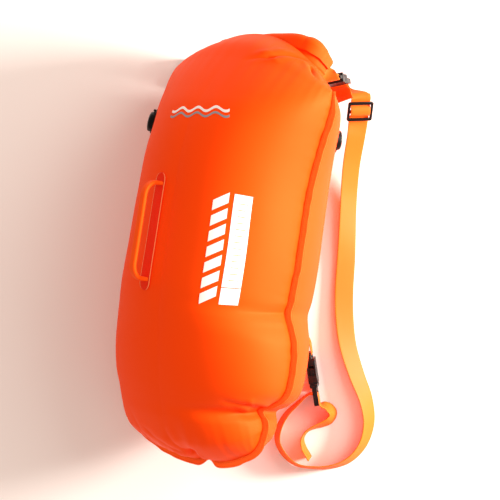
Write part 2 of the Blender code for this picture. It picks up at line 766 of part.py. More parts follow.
def make_plug(name):
    """Buckle half with the tongue: shoulders and a ladder for the webbing."""
    half, start = BUCKLE_HALF_WIDTH, SOCKET_LENGTH + CLEARANCE
    ladder = start + PLUG_SHOULDER
    bar = ladder + LADDER_SLOT_1
    second = bar + LADDER_BAR
    last = second + LADDER_SLOT_2
    end = last + END_BAR
    corner = END_BAR / 2
    side = [(start, half * 0.95), (ladder, half * 0.93), (last, half * 0.98),
            (end - corner, half * 0.98), (end, half * 0.98 - corner)]
    outline = side + [(x, -y) for x, y in side[::-1]]
    plug = plate(name, outline, PLUG_FRAME_THICKNESS)
    tongue_tip = start - TONGUE_LENGTH
    tongue = [(tongue_tip, TONGUE_HALF_WIDTH / 2), (tongue_tip + TONGUE_HALF_WIDTH / 2,
              TONGUE_HALF_WIDTH), (start + OVERRUN / 2, TONGUE_HALF_WIDTH)]
    tongue = tongue + [(x, -y) for x, y in tongue[::-1]]
    combine(plug, plate(name + "_tongue", tongue, TONGUE_THICKNESS), "UNION")
    shoulder = box(name + "_shoulder", (start, -half * 0.95, -BUCKLE_THICKNESS / 2.2),
                   (start + PLUG_SHOULDER / 2, half * 0.95, BUCKLE_THICKNESS / 2.2),
                   rounded=EDGE_ROUND)
    combine(plug, shoulder, "UNION")
    cut = box(name + "_slot_cut", (ladder, -SLOT_HALF_WIDTH, -BUCKLE_THICKNESS),
              (end + OVERRUN, SLOT_HALF_WIDTH, BUCKLE_THICKNESS))
    combine(plug, cut)
    round_bar(plug, name + "_ladder_bar", bar + LADDER_BAR / 2, LADDER_BAR / 2)
    round_bar(plug, name + "_end_bar", last + END_BAR / 2, END_BAR / 2)
    return plug


def make_latch_arm(name, sign):
    """One sprung arm of the plug: its head fills the socket's side window."""
    start, head, tip = SOCKET_LENGTH, WINDOW_END - CLEARANCE, WINDOW_START - OVERRUN / 2
    side, wide = CAVITY_HALF_WIDTH, BUCKLE_HALF_WIDTH * 0.92
    outline = [(start, side * 0.60), (start, side * 0.83), (head, side * 0.86),
               (head, wide), (WINDOW_START + OVERRUN, wide),
               (WINDOW_START, side * 0.90), (tip, side * 0.78), (tip, side * 0.62),
               (WINDOW_START + OVERRUN, side * 0.74), (head, side * 0.66)]
    outline = [(x, sign * y) for x, y in outline][::-sign]
    return plate(name, outline, ARM_THICKNESS, rounded=0.0)


def make_adjuster(name):
    half_l, half_w = ADJUSTER_LENGTH / 2, SLOT_HALF_WIDTH + ADJUSTER_SIDE
    corner = ADJUSTER_RAIL / 2
    outline = [(half_l, half_w - corner), (half_l - corner, half_w),
               (corner - half_l, half_w), (-half_l, half_w - corner),
               (-half_l, corner - half_w), (corner - half_l, -half_w),
               (half_l - corner, -half_w), (half_l, corner - half_w)]
    piece = plate(name, outline, ADJUSTER_THICKNESS, rounded=EDGE_ROUND / 2)
    for sign in (-1, 1):
        near, far = sign * ADJUSTER_BAR / 2, sign * (half_l - ADJUSTER_RAIL)
        cut = box(f"{name}_slot_cut{sign}", (min(near, far), -SLOT_HALF_WIDTH, -half_l),
                  (max(near, far), SLOT_HALF_WIDTH, half_l))
        combine(piece, cut)
    return piece


def ribbon(name, places, widths, colour):
    """Webbing along a line of places, with the way across it at each."""
    places, widths = np.asarray(places), np.asarray(widths)
    along = np.gradient(places, axis=0)
    along /= np.linalg.norm(along, axis=1)[:, None]
    across = widths - np.sum(widths * along, axis=1)[:, None] * along
    across /= np.linalg.norm(across, axis=1)[:, None]
    normal = np.cross(along, across)
    w, t = across * WEBBING_WIDTH / 2, normal * WEBBING_THICKNESS / 2
    rings = np.stack([places - w - t, places + w - t, places + w + t, places - w + t],
                     axis=1)
    return loft(name, rings, colour, 0.7)


def even_curve(points, values, step):
    """Centripetal curve through points at about even steps, with values alongside."""
    rows = np.hstack([points, values])
    rows = np.vstack([2 * rows[0] - rows[1], rows, 2 * rows[-1] - rows[-2]])
    gaps = np.sqrt(np.linalg.norm(np.diff(rows[:, :3], axis=0), axis=1))
    knots = np.concatenate([[0], np.cumsum(gaps)])
    dense = []
    for k in range(1, len(rows) - 2):
        p, t = rows[k - 1:k + 3], knots[k - 1:k + 3]
        at = np.linspace(t[1], t[2], 25)[1 if k > 1 else 0:, None]

        def mix(a, b, low, high):
            return (a * (high - at) + b * (at - low)) / (high - low)

        a1 = mix(p[0], p[1], t[0], t[1])
        a2 = mix(p[1], p[2], t[1], t[2])
        a3 = mix(p[2], p[3], t[2], t[3])
        b1, b2 = mix(a1, a2, t[0], t[2]), mix(a2, a3, t[1], t[3])
        dense.append(mix(b1, b2, t[1], t[2]))
    dense = np.vstack(dense)
    run = np.linalg.norm(np.diff(dense[:, :3], axis=0), axis=1)
    run = np.concatenate([[0], np.cumsum(run)])
    count = max(int(round(run[-1] / step)), 2)
    at = np.linspace(0, run[-1], count + 1)
    even = np.stack([np.interp(at, run, column) for column in dense.T], axis=1)
    return even[:, :3], even[:, 3:], run[-1]


def ply_bend(bar):
    """How far a ply's middle stands from the middle of a round bar that it passes."""
    return bar / 2 + CLEARANCE + WEBBING_THICKNESS / 2


def make_loop(name, path, widths, socket_frame, colour):
    """Folded webbing from an anchor, round a socket's bar and back."""
    bend = ply_bend(SOCKET_BAR)
    flat = WEBBING_THICKNESS / 2 + CLEARANCE / 2
    turn = socket_frame.to_3x3()
    points, sides = even_curve(np.array(path), np.array(widths), STRAP_STEP / 2)[:2]
    along = np.gradient(points, axis=0)
    along /= np.linalg.norm(along, axis=1)[:, None]
    sides = sides - np.sum(sides * along, axis=1)[:, None] * along
    sides /= np.linalg.norm(sides, axis=1)[:, None]
    normal = np.cross(along, sides)
    spread = flat + (bend - flat) * np.linspace(0, 1, len(points)) ** 4
    out = (points + normal * spread[:, None])[:-1]
    back = (points - normal * spread[:, None])[:-1]
    up = 1.0 if normal[-1] @ np.array(turn @ Vector((0, 0, 1))) > 0 else -1.0
    angles = np.linspace(math.pi / 2, -math.pi / 2, 11)
    bar = SOCKET_BAR / 2
    arc_points = [np.array(socket_frame @ Vector((bar + bend * math.cos(a), 0,
                                                  up * bend * math.sin(a))))
                  for a in angles]
    across = [np.array(turn @ Vector((0, 1, 0)))] * len(angles)
    places = np.vstack([out, arc_points, back[::-1]])
    return ribbon(name, places, np.vstack([sides[:-1], across, sides[-2::-1]]), colour)


def strap_places(upper, lower, adjuster):
    """The strap's line and widths, from its short upper tail to its lower tail's end."""
    ladder = SOCKET_LENGTH + CLEARANCE + PLUG_SHOULDER
    slot = ladder + LADDER_SLOT_1 / 2
    bar = ladder + LADDER_SLOT_1 + LADDER_BAR / 2
    end = bar + LADDER_BAR / 2 + LADDER_SLOT_2 + END_BAR / 2
    bend, wrap = ply_bend(LADDER_BAR) + CLEARANCE, ply_bend(END_BAR) + CLEARANCE

    def local(frame, points, side=(0, 1, 0)):
        turn = frame.to_3x3()
        return [(frame @ Vector(p), turn @ Vector(side)) for p in points]

    tail, aside = UPPER_TAIL_LENGTH, WEBBING_WIDTH * UPPER_TAIL_ASIDE_SHARE
    chain = local(upper, [(slot + bend * 0.4, aside, tail),
                          (slot - bend * 0.3, aside * 0.85, tail * 0.78)],
                  UPPER_TAIL_TURN)
    chain += local(upper, [(slot - bend * 0.6, aside * 0.4, tail * 0.45)],
                   (-0.2, 0.95, 0))
    chain += local(upper, [
        (slot, 0, bend * 2.2), (slot, 0, bend * 1.1), (slot, 0, 0),
        (slot + bend * 0.35, 0, -bend * 0.75),
        (bar, 0, -bend), (end - wrap * 0.5, 0, -wrap * 0.95), (end, 0, -wrap),
        (end + wrap * 0.71, 0, -wrap * 0.71), (end + wrap, 0, 0),
        (end + wrap * 0.85, 0, wrap * 0.9), (end + wrap * 1.6, 0, wrap * 2)])
    chain += [(share_place(p), Vector(side)) for p, side in STRAP_BRIDGE_SHARES]
    rail = ADJUSTER_LENGTH / 2 - ADJUSTER_RAIL / 2
    over = ADJUSTER_THICKNESS / 2 + 2 * CLEARANCE + WEBBING_THICKNESS / 2
    middle = (ADJUSTER_BAR / 2 + ADJUSTER_LENGTH / 2 - ADJUSTER_RAIL) / 2
    half = [(rail + 2 * ADJUSTER_RAIL, -over), (rail, -over),
            (middle + ADJUSTER_BAR * 0.45, -over * 0.7), (middle, 0),
            (middle - ADJUSTER_BAR * 0.45, over * 0.7)]
    chain += local(adjuster, [(-a, 0, h) for a, h in half] + [(0, 0, over)]
                   + [(a, 0, h) for a, h in half[::-1]])
    chain += floor_run(STRAP_RUN_SHARES)
    down = lower.to_3x3() @ Vector((0, -1, 0))
    chain += [(p, down) for p, _ in local(lower, [
        (slot, 0, bend * 3), (slot, 0, bend * 1.1), (slot, 0, 0),
        (slot + bend * 0.35, 0, -bend * 0.75), (bar, 0, -bend),
        (end - wrap * 0.5, 0, -wrap * 0.95), (end, 0, -wrap),
        (end + wrap, 0, -wrap * 1.3)])]
    return chain + floor_run(STRAP_TAIL_SHARES)


def floor_run(shares):
    """Places of webbing on the floor: it leans with its inner edge up."""
    table = np.array(shares)
    flat = table[:, :2] * BAG_LENGTH
    along = np.gradient(flat, axis=0)
    along /= np.linalg.norm(along, axis=1)[:, None]
    outwards = np.stack([-along[:, 1], along[:, 0]], axis=1)
    lean = np.radians(table[:, 2])
    height = (CLEARANCE + WEBBING_WIDTH / 2 * np.sin(lean)
              + WEBBING_THICKNESS / 2 * np.cos(lean) + table[:, 3] * BAG_LENGTH)
    found = []
    for (x, y), out, angle, z in zip(flat, outwards, lean, height):
        side = Vector((out[0] * math.cos(angle), out[1] * math.cos(angle),
                       -math.sin(angle)))
        found.append((Vector((x, y, z)), side))
    return found


def make_strap(upper, lower, adjuster):
    chain = strap_places(upper, lower, adjuster)
    points = np.array([p for p, _ in chain])
    sides = np.array([s for _, s in chain])
    even, sides, _ = even_curve(points, sides, STRAP_STEP / 4)
    keep = thin_out(even, sides)
    return ribbon("strap_webbing", even[keep], sides[keep], STRAP_ORANGE)


def thin_out(points, sides):
    """Leave out steps where the webbing runs nearly straight and untwisted."""
    along = np.diff(points, axis=0)
    along /= np.linalg.norm(along, axis=1)[:, None]
    across = sides / np.linalg.norm(sides, axis=1)[:, None]
    keep, last, turned_by = [0], 0, 0.0
    for k in range(1, len(points) - 1):
        turned_by += math.acos(min(along[k - 1] @ along[k], 1.0))
        turned_by += math.acos(min(across[k - 1] @ across[k], 1.0)) / 2
        if turned_by > math.radians(11) or k - last >= 12:
            keep.append(k)
            last, turned_by = k, 0.0
    keep.append(len(points) - 1)
    return keep


def valve_frame(rows, angle, y, back):
    point, normal = surface(rows, angle, y, back)
    origin, outwards = to_world(point), world_direction(normal)
    return frame_at(origin, (0, 1, 0) - outwards * outwards[1],
                    np.cross(outwards, (0, 1, 0)))


def cut_valve_pocket(name, chamber, matrix):
    """Seat for a valve's flange and a well for its neck."""
    top = VALVE_FLANGE_RADIUS
    well = cylinder(name + "_well_cut", VALVE_NECK_OUTER + CLEARANCE,
                    (0, 0, -VALVE_NECK_DEPTH - CLEARANCE), (0, 0, top), 24)
    seat = cylinder(name + "_seat_cut", VALVE_FLANGE_RADIUS + CLEARANCE,
                    (0, 0, -VALVE_FLANGE_SINK - CLEARANCE), (0, 0, top), 24)
    for cutter in (well, seat):
        cutter.matrix_world = matrix
        combine(chamber, cutter)


def cap_outer():
    return VALVE_RIM_OUTER + CLEARANCE + CAP_WALL


def hinge_x():
    knuckle = HINGE_PIN_RADIUS + CLEARANCE + HINGE_KNUCKLE_WALL
    return cap_outer() + knuckle


def make_valve_base(name):
    """Flange, rim and neck turned in one, with two hinge ears and their pin."""
    top = VALVE_FLANGE_THICKNESS - VALVE_FLANGE_SINK
    profile = [(VALVE_RIM_INNER, VALVE_RIM_HEIGHT), (VALVE_RIM_OUTER, VALVE_RIM_HEIGHT),
               (VALVE_RIM_OUTER, top), (VALVE_FLANGE_RADIUS, top * 0.8),
               (VALVE_FLANGE_RADIUS, -VALVE_FLANGE_SINK),
               (VALVE_NECK_OUTER, -VALVE_FLANGE_SINK),
               (VALVE_NECK_OUTER, -VALVE_NECK_DEPTH), (VALVE_NECK_BORE, -VALVE_NECK_DEPTH),
               (VALVE_NECK_BORE, VALVE_SEAT_HEIGHT), (VALVE_RIM_INNER, VALVE_SEAT_HEIGHT)]
    base = turned(name, profile, 20, closed=True)
    x, ear = hinge_x(), HINGE_PIN_RADIUS * 1.6
    low = HINGE_KNUCKLE_HALF_LENGTH + CLEARANCE
    high = low + HINGE_EAR_WIDTH
    for sign in (-1, 1):
        lug = box(f"{name}_ear{sign}", (x - ear, min(sign * low, sign * high),
                                        top * 0.7),
                  (x + ear, max(sign * low, sign * high), HINGE_HEIGHT + ear))
        combine(base, lug, "UNION")
    overlap = low + HINGE_EAR_WIDTH / 2
    pin = cylinder(name + "_pin", HINGE_PIN_RADIUS, (x, -overlap, HINGE_HEIGHT),
                   (x, overlap, HINGE_HEIGHT), 12)
    return combine(base, pin, "UNION")


def make_valve_insert(name):
    """Screwed-in seat with air holes, a turning bar and the stud of its flap."""
    plate_low = VALVE_SEAT_HEIGHT + CLEARANCE - VALVE_FLANGE_THICKNESS / 2
    head_low = VALVE_SEAT_HEIGHT + CLEARANCE
    head_top = head_low + INSERT_HEAD_THICKNESS
    body = VALVE_NECK_BORE - CLEARANCE
    bore, foot = body - INSERT_WALL, head_low - INSERT_LENGTH
    stud_low = plate_low - FLAP_THICKNESS - 2 * CLEARANCE
    head = VALVE_RIM_INNER - CLEARANCE
    profile = [(0, head_top), (head, head_top), (head, head_low), (body, head_low),
               (body, foot), (bore, foot), (bore, plate_low), (STUD_RADIUS, plate_low),
               (STUD_RADIUS, stud_low), (STUD_HEAD_RADIUS, stud_low - CLEARANCE),
               (STUD_HEAD_RADIUS, stud_low - FLAP_THICKNESS),
               (0, stud_low - FLAP_THICKNESS)]
    insert = turned(name, profile, 16)
    bar = box(name + "_bar", (-bore, -INSERT_GRIP_WIDTH / 2, head_top - CLEARANCE),
              (bore, INSERT_GRIP_WIDTH / 2, head_top + INSERT_GRIP_HEIGHT))
    combine(insert, bar, "UNION")
    ring = (STUD_HEAD_RADIUS + bore) / 2
    for k in range(4):
        a = math.pi / 4 + k * math.pi / 2
        x, y = ring * math.cos(a), ring * math.sin(a)
        hole = cylinder(f"{name}_hole_cut{k}", INSERT_HOLE_RADIUS, (x, y, plate_low - OVERRUN),
                        (x, y, head_top + OVERRUN), 10)
        combine(insert, hole)
    return insert


def make_valve_flap(name):
    """Soft disc under the insert's holes, held by the stud."""
    plate_low = VALVE_SEAT_HEIGHT + CLEARANCE - VALVE_FLANGE_THICKNESS / 2
    top = plate_low - CLEARANCE
    bore = VALVE_NECK_BORE - CLEARANCE - INSERT_WALL
    hole, rim = STUD_RADIUS + CLEARANCE, bore - CLEARANCE
    profile = [(hole, top), (rim, top), (rim, top - FLAP_THICKNESS),
               (hole, top - FLAP_THICKNESS)]
    return turned(name, profile, 16, GREY, closed=True)


def make_valve_cap(name):
    """Snap cap with a thumb lip, hinged on the base's pin."""
    outer, inner = cap_outer(), VALVE_RIM_OUTER + CLEARANCE
    inside = VALVE_RIM_HEIGHT + CLEARANCE
    low = VALVE_FLANGE_THICKNESS - VALVE_FLANGE_SINK + CLEARANCE
    top = inside + CAP_TOP_THICKNESS
    profile = [(0, top), (outer * 0.66, top * 0.96), (outer * 0.93, top * 0.82),
               (outer, inside), (outer, low), (inner, low), (inner, inside), (0, inside)]
    cap = turned(name, profile, 20)
    lip = box(name + "_lip", (-outer - CAP_WALL * 1.4, -CAP_WALL * 2.4, low),
              (-inner - CAP_WALL / 2, CAP_WALL * 2.4, low + CAP_WALL), rounded=EDGE_ROUND / 3)
    combine(cap, lip, "UNION")
    x = hinge_x()
    knuckle_radius = HINGE_PIN_RADIUS + CLEARANCE + HINGE_KNUCKLE_WALL
    half = HINGE_KNUCKLE_HALF_LENGTH
    relief = box(name + "_relief_cut", (inner * 0.7, -half * 2.4, low - CAP_WALL),
                 (outer + CAP_WALL, half * 2.4, low + 3 * CLEARANCE))
    combine(cap, relief)
    arm = box(name + "_arm", (inner + CAP_WALL / 2, -half, HINGE_HEIGHT - CAP_WALL / 2),
              (x, half, HINGE_HEIGHT + CAP_WALL / 2))
    combine(cap, arm, "UNION")
    knuckle = cylinder(name + "_knuckle", knuckle_radius, (x, -half, HINGE_HEIGHT),
                       (x, half, HINGE_HEIGHT), 12)
    combine(cap, knuckle, "UNION")
    bore = cylinder(name + "_bore_cut", HINGE_PIN_RADIUS + CLEARANCE,
                    (x, -half - OVERRUN, HINGE_HEIGHT), (x, half + OVERRUN, HINGE_HEIGHT), 12)
    return combine(cap, bore)


def make_valve(side, chamber, rows, angle, y, back):
    matrix = valve_frame(rows, angle, y, back)
    cut_valve_pocket(side + "_valve", chamber, matrix)
    pieces = [make_valve_base(side + "_valve_base"),
              make_valve_insert(side + "_valve_insert"),
              make_valve_flap(side + "_valve_flap"), make_valve_cap(side + "_valve_cap")]
    for piece in pieces:
        place(parts_of(piece), matrix)
    hinge = matrix @ Matrix.Translation((hinge_x(), 0, HINGE_HEIGHT))
    hang(pieces[-1], side + "_valve_hinge", hinge)
    return matrix


def make_buckle(side, matrix, plug=True):
    socket = make_socket(side + "_buckle_socket")
    place(parts_of(socket), matrix)
    if plug:
        place(parts_of(make_plug(side + "_buckle_plug")), matrix)
        for label, sign in (("left", -1), ("right", 1)):
            arm = make_latch_arm(f"{side}_buckle_latch_{label}", sign)
            place(parts_of(arm), matrix)
    return socket


def share_place(shares):
    return Vector(shares) * BAG_LENGTH


def roll_end(frames, index):
    """World place, way out and ways across and to the front at one end of the roll."""
    line, along, outwards, front = frames
    point = to_world(line[index])
    out = world_direction(along[index]) * (1 if index else -1)
    return point, out, world_direction(outwards[index]), world_direction(front[index])


def make_roll_tab(name, frames, index, socket_frame):
    """Webbing tab from a roll end's face to a socket's bar."""
    point, out, across, _ = roll_end(frames, index)
    start = point + out * 2 * CLEARANCE
    bar = np.array(socket_frame @ Vector((SOCKET_BAR / 2, 0, 0)))
    back = np.array(socket_frame.to_3x3() @ Vector((1, 0, 0)))
    side = np.array(socket_frame.to_3x3() @ Vector((0, 1, 0)))
    if across @ side < 0:
        across = -across
    reach = np.linalg.norm(bar - start)
    path = [start, start + out * reach * 0.12, start + out * reach * 0.28,
            bar - back * reach * 0.55, bar - back * reach * 0.3, bar]
    widths = [across, across, across * 0.8 + side * 0.2, side, side, side]
    return make_loop(name, path, widths, socket_frame, STRAP_ORANGE)


def make_anchor(rows, socket_frame):
    """Welded patch on the back chamber, and the webbing loop it holds."""
    patch = rounded_patch("strap_anchor_patch", rows, ANCHOR_ANGLE, ANCHOR_Y,
                          ANCHOR_LENGTH, ANCHOR_WIDTH, PATCH_THICKNESS, True,
                          WELD_ORANGE)
    lift = 5 * CLEARANCE + PATCH_THICKNESS + WEBBING_THICKNESS
    bar = np.array(socket_frame @ Vector((SOCKET_BAR / 2, 0, 0)))
    side = np.array(socket_frame.to_3x3() @ Vector((0, 1, 0)))
    back = np.array(socket_frame.to_3x3() @ Vector((1, 0, 0)))
    path, widths = [], []
    for share in (0.3, 0.1, -0.1):
        y = ANCHOR_Y + share * ANCHOR_LENGTH
        point, normal = surface(rows, ANCHOR_ANGLE, y, True, lift)
        path.append(to_world(point))
        across = np.cross(world_direction(normal), (0, 1.0, 0))
        widths.append(across * (1 if across @ side > 0 else -1))
    path.append(path[-1] + world_direction(normal * PATCH_THICKNESS * 5)
                - np.array([0, ANCHOR_LENGTH / 4, 0]))
    widths.append(widths[-1])
    reach = np.linalg.norm(bar - path[-1])
    path += [bar - back * reach * 0.4, bar]
    widths += [side, side]
    make_loop("strap_anchor_loop", path, widths, socket_frame, STRAP_ORANGE)
    return patch


def main():
    for old in list(bpy.data.objects):
        bpy.data.objects.remove(old)
    rows = bag_rows()
    bag_axis = make_bag_axis()
    front = make_chamber("front_air_chamber", rows, False)
    back = make_chamber("back_air_chamber", rows, True)
    edges = liner_rows(rows)
    frames = roll_frames()
    in_bag = [front, back, make_flange(rows), make_liner(edges), make_roll(frames),
              make_stiffener(frames), make_collar(edges, frames, rows),
              rounded_patch("handle_base", rows, HANDLE_ANGLE, HANDLE_MIDDLE_Y,
                            HANDLE_BASE_LENGTH, HANDLE_BASE_WIDTH,
                            HANDLE_BASE_THICKNESS, False, WELD_ORANGE),
              make_grip(rows)]
    upper = frame_at(share_place(UPPER_BUCKLE_SHARES), *UPPER_BUCKLE_WAYS)
    lower = frame_at(share_place(LOWER_BUCKLE_SHARES), *LOWER_BUCKLE_WAYS)
    free = frame_at(share_place(FREE_SOCKET_SHARES), *FREE_SOCKET_WAYS)
    adjuster = frame_at(share_place(ADJUSTER_SHARES), *ADJUSTER_WAYS)
    make_buckle("upper", upper)
    make_buckle("lower", lower)
    loose = make_buckle("free", free, plug=False)
    bar = free @ Matrix.Translation((SOCKET_BAR / 2, 0, 0))
    hang(loose, "free_buckle_pivot", bar)
    make_roll_tab("roll_tab_right", frames, -1, upper)
    make_roll_tab("roll_tab_left", frames, 0, free)
    in_bag.append(make_anchor(rows, lower))
    place(parts_of(make_adjuster("strap_adjuster")), adjuster)
    make_strap(upper, lower, adjuster)
    make_valve("front", front, rows, FRONT_VALVE_ANGLE, FRONT_VALVE_Y, False)
    make_valve("back", back, rows, BACK_VALVE_ANGLE, BACK_VALVE_Y, True)
    for piece in in_bag:
        piece.parent = bag_axis


main()
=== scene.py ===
"""Open water swim buoy, dressed: coated fabric, welded seams, webbing and fittings.

The bag lies on its back chamber, rolled part way round its long axis. It is described in
its own frame (s, y, n): s runs across from the left seam to the right seam, y runs along
the bag towards the roll-top, and n stands on the front panel. Lengths are in metres.
"""
import json
import math

import bmesh
import bpy
import numpy as np
from mathutils import Matrix, Vector


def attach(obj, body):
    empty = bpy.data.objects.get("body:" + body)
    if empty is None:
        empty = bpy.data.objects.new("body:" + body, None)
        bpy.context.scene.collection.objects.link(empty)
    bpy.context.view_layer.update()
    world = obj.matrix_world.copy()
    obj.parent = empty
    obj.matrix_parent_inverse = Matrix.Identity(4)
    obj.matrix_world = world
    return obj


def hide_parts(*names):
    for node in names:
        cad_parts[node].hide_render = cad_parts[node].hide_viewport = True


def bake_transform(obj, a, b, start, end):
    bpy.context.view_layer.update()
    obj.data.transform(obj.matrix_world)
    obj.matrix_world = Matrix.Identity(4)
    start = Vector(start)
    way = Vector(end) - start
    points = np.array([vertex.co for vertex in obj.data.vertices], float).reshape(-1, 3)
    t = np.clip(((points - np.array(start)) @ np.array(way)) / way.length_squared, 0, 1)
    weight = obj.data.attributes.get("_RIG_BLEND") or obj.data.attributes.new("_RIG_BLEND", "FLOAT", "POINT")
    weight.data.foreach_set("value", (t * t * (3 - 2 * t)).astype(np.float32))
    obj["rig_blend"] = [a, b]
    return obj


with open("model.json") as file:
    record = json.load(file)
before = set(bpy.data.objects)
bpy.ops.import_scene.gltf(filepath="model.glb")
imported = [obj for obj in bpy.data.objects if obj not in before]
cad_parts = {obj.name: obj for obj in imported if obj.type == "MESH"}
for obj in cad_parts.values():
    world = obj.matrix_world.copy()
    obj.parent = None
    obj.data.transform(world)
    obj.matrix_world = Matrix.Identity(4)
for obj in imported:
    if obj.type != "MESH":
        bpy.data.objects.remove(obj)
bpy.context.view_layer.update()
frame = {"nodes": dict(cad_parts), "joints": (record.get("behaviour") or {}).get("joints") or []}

bl_info = {
    "name": "Swim buoy",
    "version": (1, 0, 0),
    "blender": (4, 5, 0),
    "location": "View3D > Sidebar > Swim buoy",
    "description": "Dresses an inflatable swim buoy with fabric, webbing and fittings",
    "category": "Object",
}

# Places along the bag, seam half widths, crown heights, end bows and seam slant, as in
# the bag's construction: shares of the bag's length, seam half width and chamber height
SECTION_SHARES = [
    (-0.412, 0.861, 1.040, 0.000, 0.000, -0.077, -0.077, 0.000),
    (-0.408, 0.871, 1.050, 0.222, 0.222, -0.071, -0.071, 0.000),
    (-0.396, 0.881, 1.059, 0.444, 0.462, -0.058, -0.058, 0.000),
    (-0.385, 0.886, 1.059, 0.547, 0.615, -0.046, -0.046, 0.000),
    (-0.365, 0.851, 1.074, 0.650, 0.735, -0.029, -0.029, 0.000),
    (-0.346, 0.782, 1.099, 0.709, 0.786, -0.017, -0.017, 0.000),
    (-0.329, 0.960, 1.124, 0.752, 0.803, -0.011, -0.011, 0.000),
    (-0.300, 1.109, 1.163, 0.812, 0.829, -0.004, -0.004, 0.000),
    (-0.250, 1.139, 1.178, 0.880, 0.846, 0.000, 0.000, 0.000),
    (-0.188, 1.109, 1.168, 0.932, 0.872, 0.000, 0.000, 0.000),
    (-0.150, 1.020, 1.149, 0.966, 0.923, 0.000, 0.000, 0.000),
    (-0.123, 0.960, 1.144, 0.983, 0.966, 0.000, 0.000, 0.000),
    (-0.085, 0.980, 1.129, 1.000, 0.991, 0.000, 0.000, 0.000),
    (0.000, 1.000, 1.104, 1.000, 0.991, 0.000, 0.000, 0.000),
    (0.115, 1.000, 1.074, 1.000, 0.966, 0.000, 0.000, 0.000),
    (0.192, 1.025, 1.050, 0.991, 0.923, 0.000, 0.000, 0.000),
    (0.260, 1.079, 1.025, 0.940, 0.838, 0.000, 0.000, 0.000),
    (0.308, 1.129, 1.050, 0.855, 0.769, 0.002, 0.000, 0.000),
    (0.342, 1.158, 1.084, 0.735, 0.675, 0.008, 0.000, -0.005),
    (0.365, 1.163, 1.129, 0.598, 0.530, 0.025, 0.006, -0.020),
    (0.381, 1.158, 1.168, 0.444, 0.359, 0.050, 0.012, -0.030),
    (0.389, 1.153, 1.198, 0.274, 0.205, 0.085, 0.015, -0.032),
    (0.393, 1.149, 1.218, 0.000, 0.000, 0.114, 0.017, -0.035),
]
# Middle line of the roll: across, along, height and turn in degrees
ROLL_PATH_SHARES = [
    (-0.718, 0.4346, -0.308, -78),
    (-0.708, 0.4442, -0.248, -70),
    (-0.683, 0.4538, -0.192, -57),
    (-0.639, 0.4606, -0.145, -40),
    (-0.574, 0.4644, -0.114, -20),
    (-0.455, 0.4663, -0.101, -6),
    (-0.248, 0.4740, -0.098, 0),
    (0.000, 0.4788, -0.098, 0),
    (0.248, 0.4827, -0.098, 0),
    (0.455, 0.4827, -0.101, 6),
    (0.574, 0.4788, -0.114, 20),
    (0.639, 0.4721, -0.145, 40),
    (0.683, 0.4635, -0.192, 57),
    (0.708, 0.4538, -0.248, 70),
    (0.718, 0.4442, -0.308, 78),
]
# The strap's route: x, y, lean in degrees and height, shares of the bag's length
STRAP_RUN_SHARES = [
    (0.2627, 0.3181, 22, 0.0640),
    (0.2635, 0.2500, 28, 0.0330),
    (0.2683, 0.1904, 30, 0.0130),
    (0.2742, 0.1350, 30, 0.0040),
    (0.2819, 0.0692, 24, 0.0006),
    (0.2873, 0.0179, 18, 0.0000),
    (0.2942, -0.0596, 16, 0.0000),
    (0.3050, -0.1250, 20, 0.0000),
    (0.3231, -0.1904, 27, 0.0000),
    (0.3538, -0.2558, 35, 0.0000),
    (0.3860, -0.3150, 44, 0.0000),
    (0.4010, -0.3700, 52, 0.0000),
    (0.3931, -0.4250, 60, 0.0000),
    (0.3650, -0.4660, 66, 0.0000),
    (0.3250, -0.4881, 72, 0.0000),
    (0.2788, -0.4969, 76, 0.0000),
    (0.2381, -0.4950, 76, 0.0000),
    (0.2050, -0.4740, 74, 0.0000),
    (0.1850, -0.4431, 76, 0.0000),
    (0.1860, -0.4069, 78, 0.0000),
    (0.2000, -0.3731, 82, 0.0010),
    (0.2192, -0.3481, 86, 0.0040),
]
STRAP_TAIL_SHARES = [
    (0.2904, -0.3433, 70, 0.0070),
    (0.3029, -0.3490, 66, 0.0045),
    (0.3096, -0.3606, 62, 0.0020),
    (0.3054, -0.3760, 64, 0.0005),
    (0.2904, -0.3875, 68, 0.0000),
    (0.2712, -0.3977, 74, 0.0000),
    (0.2538, -0.4106, 78, 0.0000),
    (0.2452, -0.4308, 78, 0.0000),
    (0.2519, -0.4519, 76, 0.0000),
    (0.2635, -0.4673, 76, 0.0000),
    (0.2705, -0.4765, 76, 0.0000),
]
# Folds pressed into the front panel: angle round the wall in degrees and place along the
# bag as a share of its length, from end to end, then depth at each end and width in metres
FRONT_FOLDS = [
    ((77.0, 0.3820), (66.0, 0.3867), 0.0004, 0.0030, 0.0030),
    ((66.0, 0.3867), (50.0, 0.3922), 0.0030, 0.0040, 0.0032),
    ((40.4, 0.3916), (34.0, 0.3900), 0.0050, 0.0006, 0.0030),
    ((42.0, -0.3235), (24.0, -0.3290), 0.0006, 0.0032, 0.0034),
    ((24.0, -0.3290), (3.0, -0.3380), 0.0032, 0.0052, 0.0040),
    ((38.0, -0.3290), (20.0, -0.3480), 0.0003, 0.0012, 0.0060),
    ((33.0, -0.1276), (1.0, -0.1202), 0.0003, 0.0018, 0.0045),
    ((90.0, -0.3800), (80.6, -0.4080), 0.0003, 0.0036, 0.0040),
    ((66.0, -0.3900), (80.6, -0.4080), 0.0003, 0.0024, 0.0040),
    ((108.0, -0.3880), (92.0, -0.4020), 0.0010, 0.0018, 0.0040),
    ((124.0, -0.3700), (115.0, -0.3960), 0.0002, 0.0014, 0.0050),
    ((146.0, -0.3400), (158.0, -0.3900), 0.0003, 0.0018, 0.0050),
]
